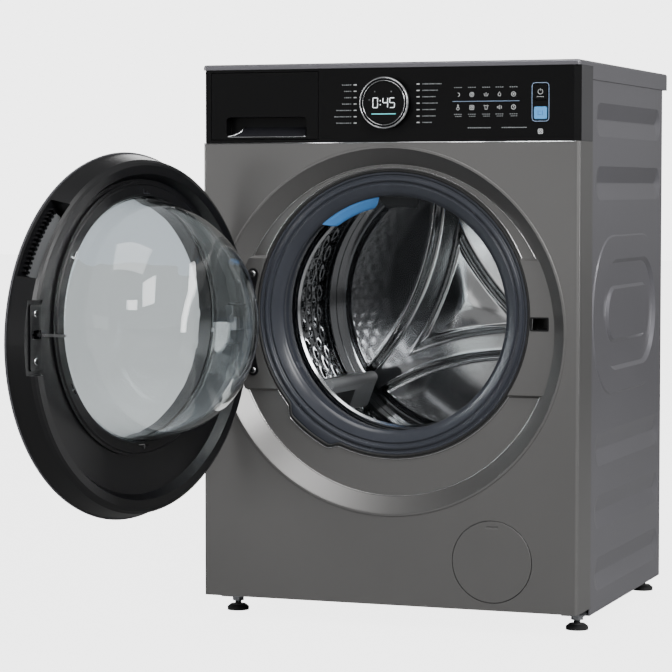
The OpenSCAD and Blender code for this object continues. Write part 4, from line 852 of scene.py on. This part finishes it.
def panel_marks():
    """Display figures, programme marks, option symbols and key outline, all generic."""
    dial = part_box("dial_ring")
    dial_z = (dial[0].z + dial[1].z) / 2 / MM
    figures = []
    for char, x in (("0", -13.2), ("4", 2.6), ("5", 13.4)):
        figures += digit(char, x, dial_z, 7.4, 14.5, 0.95)
    figures += [(-5.2, dial_z + 3, 1.3, 1.3), (-5.2, dial_z - 3, 1.3, 1.3)]
    bars("display_figures", "cabinet", "black_gloss", GLOW, figures, DISPLAY_FACE, shear=0.07)
    bars("display_line", "cabinet", "black_gloss", TEAL, [(0, dial_z - 16.6, 38, 1.1)], DISPLAY_FACE)
    bars("display_dots", "cabinet", "black_gloss", DIM,
         [(-14, dial_z + 16.5, 1.4, 1.4), (12, dial_z + 16.5, 1.8, 1.8), (-22.5, dial_z + 4.5, 2.4, 0.9)],
         DISPLAY_FACE)
    levels = [dial_z + 27.6 - 9.5 * k for k in range(7)]
    bars("programme_ticks", "cabinet", "black_gloss", PRINT,
         [(side * x, z, 4.6, 1.5) for side, x in ((-1, 50), (1, 49.5)) for z in levels], 0.0)
    words = []
    for k, z in enumerate(levels):
        for side, start, units in ((-1, 56, (5, 4, 4, 5, 8, 9, 8)), (1, 56, (10, 8, 7, 8, 7, 7, 5))):
            for n in range(units[k]):
                wide = 1.7 + 0.5 * ((n * 7 + k * 3) % 3)
                words.append((side * (start + 1.2 + 3.1 * n), z, wide, 1.35))
    bars("programme_dashes", "cabinet", "black_gloss", DIM, words, 0.0)
    columns = (111.5, 133, 155, 175.4, 197)
    upper, lower = dial_z + 11, dial_z - 8
    bars("option_line", "cabinet", "black_gloss", LINE, [(154.5, dial_z + 1, 103, 0.7)], 0.0)
    small = []
    for k, x in enumerate(columns):
        for n in range(4):
            small.append((x - 4.8 + 3.2 * n, upper + 10.5, 2.2, 1.1))
            small.append((x - 4.8 + 3.2 * n, lower - 10, 2.2, 1.1))
            small.append((x - 3.2 + 2.6 * n, lower - 13, 1.9, 1.0))
    small += [(128 + 3.0 * n, dial_z - 38, 2.2, 1.4) for n in range(12)]
    small += [(180 + 3.0 * n, dial_z - 38, 2.2, 1.4) for n in range(13)]
    bars("option_dashes", "cabinet", "black_gloss", DIM, small, 0.0)
    moon, disc, leaf, drop, ring = [(x, upper) for x in columns]
    probe, square, shirt, horn, clock = [(x, lower) for x in columns]
    leaf_line = [[-3.4, 1.6], [-2.2, -2.2], [2.2, -2.2], [3.4, 1.6], [1.2, -0.4], [0, 2.8], [-1.2, -0.4]]
    drop_line = [[0, 3.6], [2.2, -0.2], [1.6, -2.4], [-1.6, -2.4], [-2.2, -0.2]]
    shirt_line = [[-3.4, 3], [-1.6, 3], [0, 1.8], [1.6, 3], [3.4, 3], [1.8, 0], [1.6, -3], [-1.6, -3],
                  [-1.8, 0]]
    horn_line = [[-3.2, -1], [-3.2, 1], [-1.4, 1], [0.6, 3], [0.6, -3], [-1.4, -1]]
    symbols = [(circle(*moon, 2.6, 270, 450, 12), False),
               (circle(*disc, 3.2), True), (circle(*disc, 1.4), True),
               (np.array(leaf_line) + leaf, True), (np.array(drop_line) + drop, True),
               (circle(*ring, 3.2), True), (circle(*ring, 1.0), True),
               (circle(probe[0], lower - 1.6, 2.0), True),
               (box_line(probe[0], lower + 1.8, 1.6, 4.2, 0.7), True),
               (box_line(*square, 6.2, 6.2, 1.2), True), (box_line(*square, 3.0, 2.2, 0.6), True),
               (np.array(shirt_line) + shirt, True), (np.array(horn_line) + horn, True),
               (circle(*horn, 3.2, -40, 40, 8), False), (circle(*clock, 3.2), True),
               (np.array([[0, 2], [0, 0], [1.4, -0.8]]) + clock, False)]
    outline_mark("option_symbol", "cabinet", "black_gloss", PRINT, symbols, 0.0, 0.75)
    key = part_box("power_button")
    key_x = (key[0].x + key[1].x) / 2 / MM
    low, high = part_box("start_button")[0].z / MM, key[1].z / MM
    outline_mark("key_outline", "cabinet", "black_gloss", LINE,
                 [(box_line(key_x, (low + high) / 2, 25.5, high - low + 3.2, 5.5), True)], 0.0, 0.8)
    power_z = (key[0].z + key[1].z) / 2 / MM + 1
    outline_mark("power_symbol", "power_key", "black_gloss", PRINT,
                 [(circle(key_x, power_z, 3.6, 115, 425, 24), False)], KEY_FACE, 0.75)
    bars("power_stroke", "power_key", "black_gloss", PRINT, [(key_x, power_z + 3.0, 0.8, 3.4)], KEY_FACE)
    bars("power_dashes", "power_key", "black_gloss", PRINT,
         [(key_x - 4.4 + 2.2 * n, power_z - 7.4, 1.4, 0.9) for n in range(5)], KEY_FACE)
    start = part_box("start_button")
    start_z = (start[0].z + start[1].z) / 2 / MM
    bars("start_marks", "start_key", "key_blue", DEEP_BLUE,
         [(key_x - 3.4, start_z, 1.0, 7.0), (key_x - 0.6, start_z + 2.6, 3.0, 0.8),
          (key_x + 3.2, start_z, 1.0, 7.0), (key_x - 0.4, start_z - 2.6, 4.2, 0.8)], KEY_FACE)
    tile_z = dial_z - 44
    outline_mark("tile", "cabinet", "black_gloss", PRINT,
                 [(box_line(key_x, tile_z, 6.4, 6.4, 1.4), True), (circle(key_x, tile_z, 1.5), True)],
                 0.0, 1.2)


# ------------------------------------------------------------------ stage

def stage():
    """Pale floor, soft studio lights and the camera at the viewing angle. Floor and world are far brighter
    straight to the camera, as a white backdrop, than to the part that they light."""
    bpy.ops.mesh.primitive_plane_add(size=40)
    floor = bpy.context.object
    floor.name = "floor"
    mat, tree, shader = fresh("pale_floor", Roughness=0.7)
    shader.inputs["Base Color"].default_value = colour("#7a7a7a")
    ray = put(tree, "ShaderNodeLightPath")
    through = put(tree, "ShaderNodeMath", {0: ray.outputs["Is Transmission Ray"], 1: 0.75},
                  operation="MULTIPLY")
    lift = put(tree, "ShaderNodeMath", {0: ray.outputs["Is Camera Ray"], 1: 3.7, 2: through.outputs[0]},
               operation="MULTIPLY_ADD")
    shader.inputs["Emission Color"].default_value = (1, 1, 1, 1)
    tree.links.new(lift.outputs[0], shader.inputs["Emission Strength"])
    floor.data.materials.append(mat)
    world = bpy.data.worlds.new("studio")
    world.use_nodes = True
    tree = world.node_tree
    plain = tree.nodes["Background"]
    plain.inputs["Color"].default_value = (1, 1, 1, 1)
    plain.inputs["Strength"].default_value = 4.2
    way = put(tree, "ShaderNodeTexCoord").outputs["Generated"]
    toward = put(tree, "ShaderNodeVectorMath", {0: way, 1: (0.85, -0.3, 0.43)}, operation="DOT_PRODUCT")
    level = put(tree, "ShaderNodeMapRange", {"Value": toward.outputs["Value"], "From Min": -0.7,
                                             "From Max": 0.9, "To Min": 0.07, "To Max": 0.46})
    dim = put(tree, "ShaderNodeBackground", {"Color": (1, 1, 1, 1), "Strength": level.outputs["Result"]})
    seen = put(tree, "ShaderNodeLightPath")
    behind = put(tree, "ShaderNodeBackground", {"Color": colour("#eef2f8"), "Strength": 1.1})
    refracted = put(tree, "ShaderNodeMixShader", {0: seen.outputs["Is Transmission Ray"], 1: dim.outputs[0],
                                                  2: behind.outputs[0]})
    mix = put(tree, "ShaderNodeMixShader", {0: seen.outputs["Is Camera Ray"], 1: refracted.outputs[0],
                                            2: plain.outputs[0]})
    tree.links.new(mix.outputs[0], tree.nodes["World Output"].inputs["Surface"])
    bpy.context.scene.world = world
    for name, place, size, power in (("key", (3.2, -2.0, 2.4), (1.6, 1.6), 100),
                                     ("fill", (-3.4, -2.4, 1.6), (0.9, 2.0), 50),
                                     ("top", (0.4, -1.6, 3.4), (2.4, 1.6), 52),
                                     ("front", (2.2, -4.4, 2.2), (1.6, 0.8), 70),
                                     ("side strip", (3.4, 1.6, 1.2), (0.3, 2.0), 26),
                                     ("front left", (-1.5, -4.4, 0.55), (1.8, 0.9), 4),
                                     ("left top", (-2.4, -1.2, 2.2), (0.8, 1.2), 4),
                                     ("back", (-1.2, 3.8, 2.2), (2.0, 1.2), 40)):
        lamp = bpy.data.lights.new(name, "AREA")
        lamp.shape = "RECTANGLE"
        lamp.size, lamp.size_y = size
        lamp.energy = power
        obj = bpy.data.objects.new(name, lamp)
        obj.location = place
        obj.rotation_euler = (Vector((0, 0, 0.45)) - Vector(place)).to_track_quat("-Z", "Y").to_euler()
        bpy.context.scene.collection.objects.link(obj)
    cam = bpy.data.cameras.new("camera")
    cam.lens = 140.8
    cam.sensor_width = 36
    obj = bpy.data.objects.new("camera", cam)
    yaw, pitch = math.radians(20.17), math.radians(3.19)
    obj.location = (1.287, FRONT_Y - 3.723, 0.660)
    look = Vector((-math.sin(yaw) * math.cos(pitch), math.cos(yaw) * math.cos(pitch), -math.sin(pitch)))
    obj.rotation_euler = look.to_track_quat("-Z", "Y").to_euler()
    bpy.context.scene.collection.objects.link(obj)
    bpy.context.scene.camera = obj


gasket()
jet_label = arc_strip("jet_label", 98, 131, (177.5, 36), (162.5, 49), 1.0)
finish_piece(jet_label, "cabinet", "key_blue", TAG)
jet_nozzle = arc_strip("jet_nozzle", 79, 100, (181, 46), (160, 66), 5.0, ends=0.25)
finish_piece(jet_nozzle, "cabinet", "black_plastic", DARK)
drum_wall()
drum_rear()
lifter_grilles()
bowl()
dial_collar()
clip_marks()
door_grip()
fixing_screws()
fold_lines()
sheet_line()
drawer_scoop()
panel_marks()
for soft_node, soft_width in (("fascia", 0.5), ("drawer_front", 0.7), ("filter_cover", 0.5),
                              ("door_lock", 0.5), ("latch_plate", 0.5), ("hinge_bracket", 0.7),
                              ("hinge_arm", 0.5), ("power_button", 0.6), ("start_button", 0.6),
                              ("service_cover", 0.6), ("lifters", 1.5), ("control_bezel", 0.6)):
    softened(soft_node, soft_width)
stage()
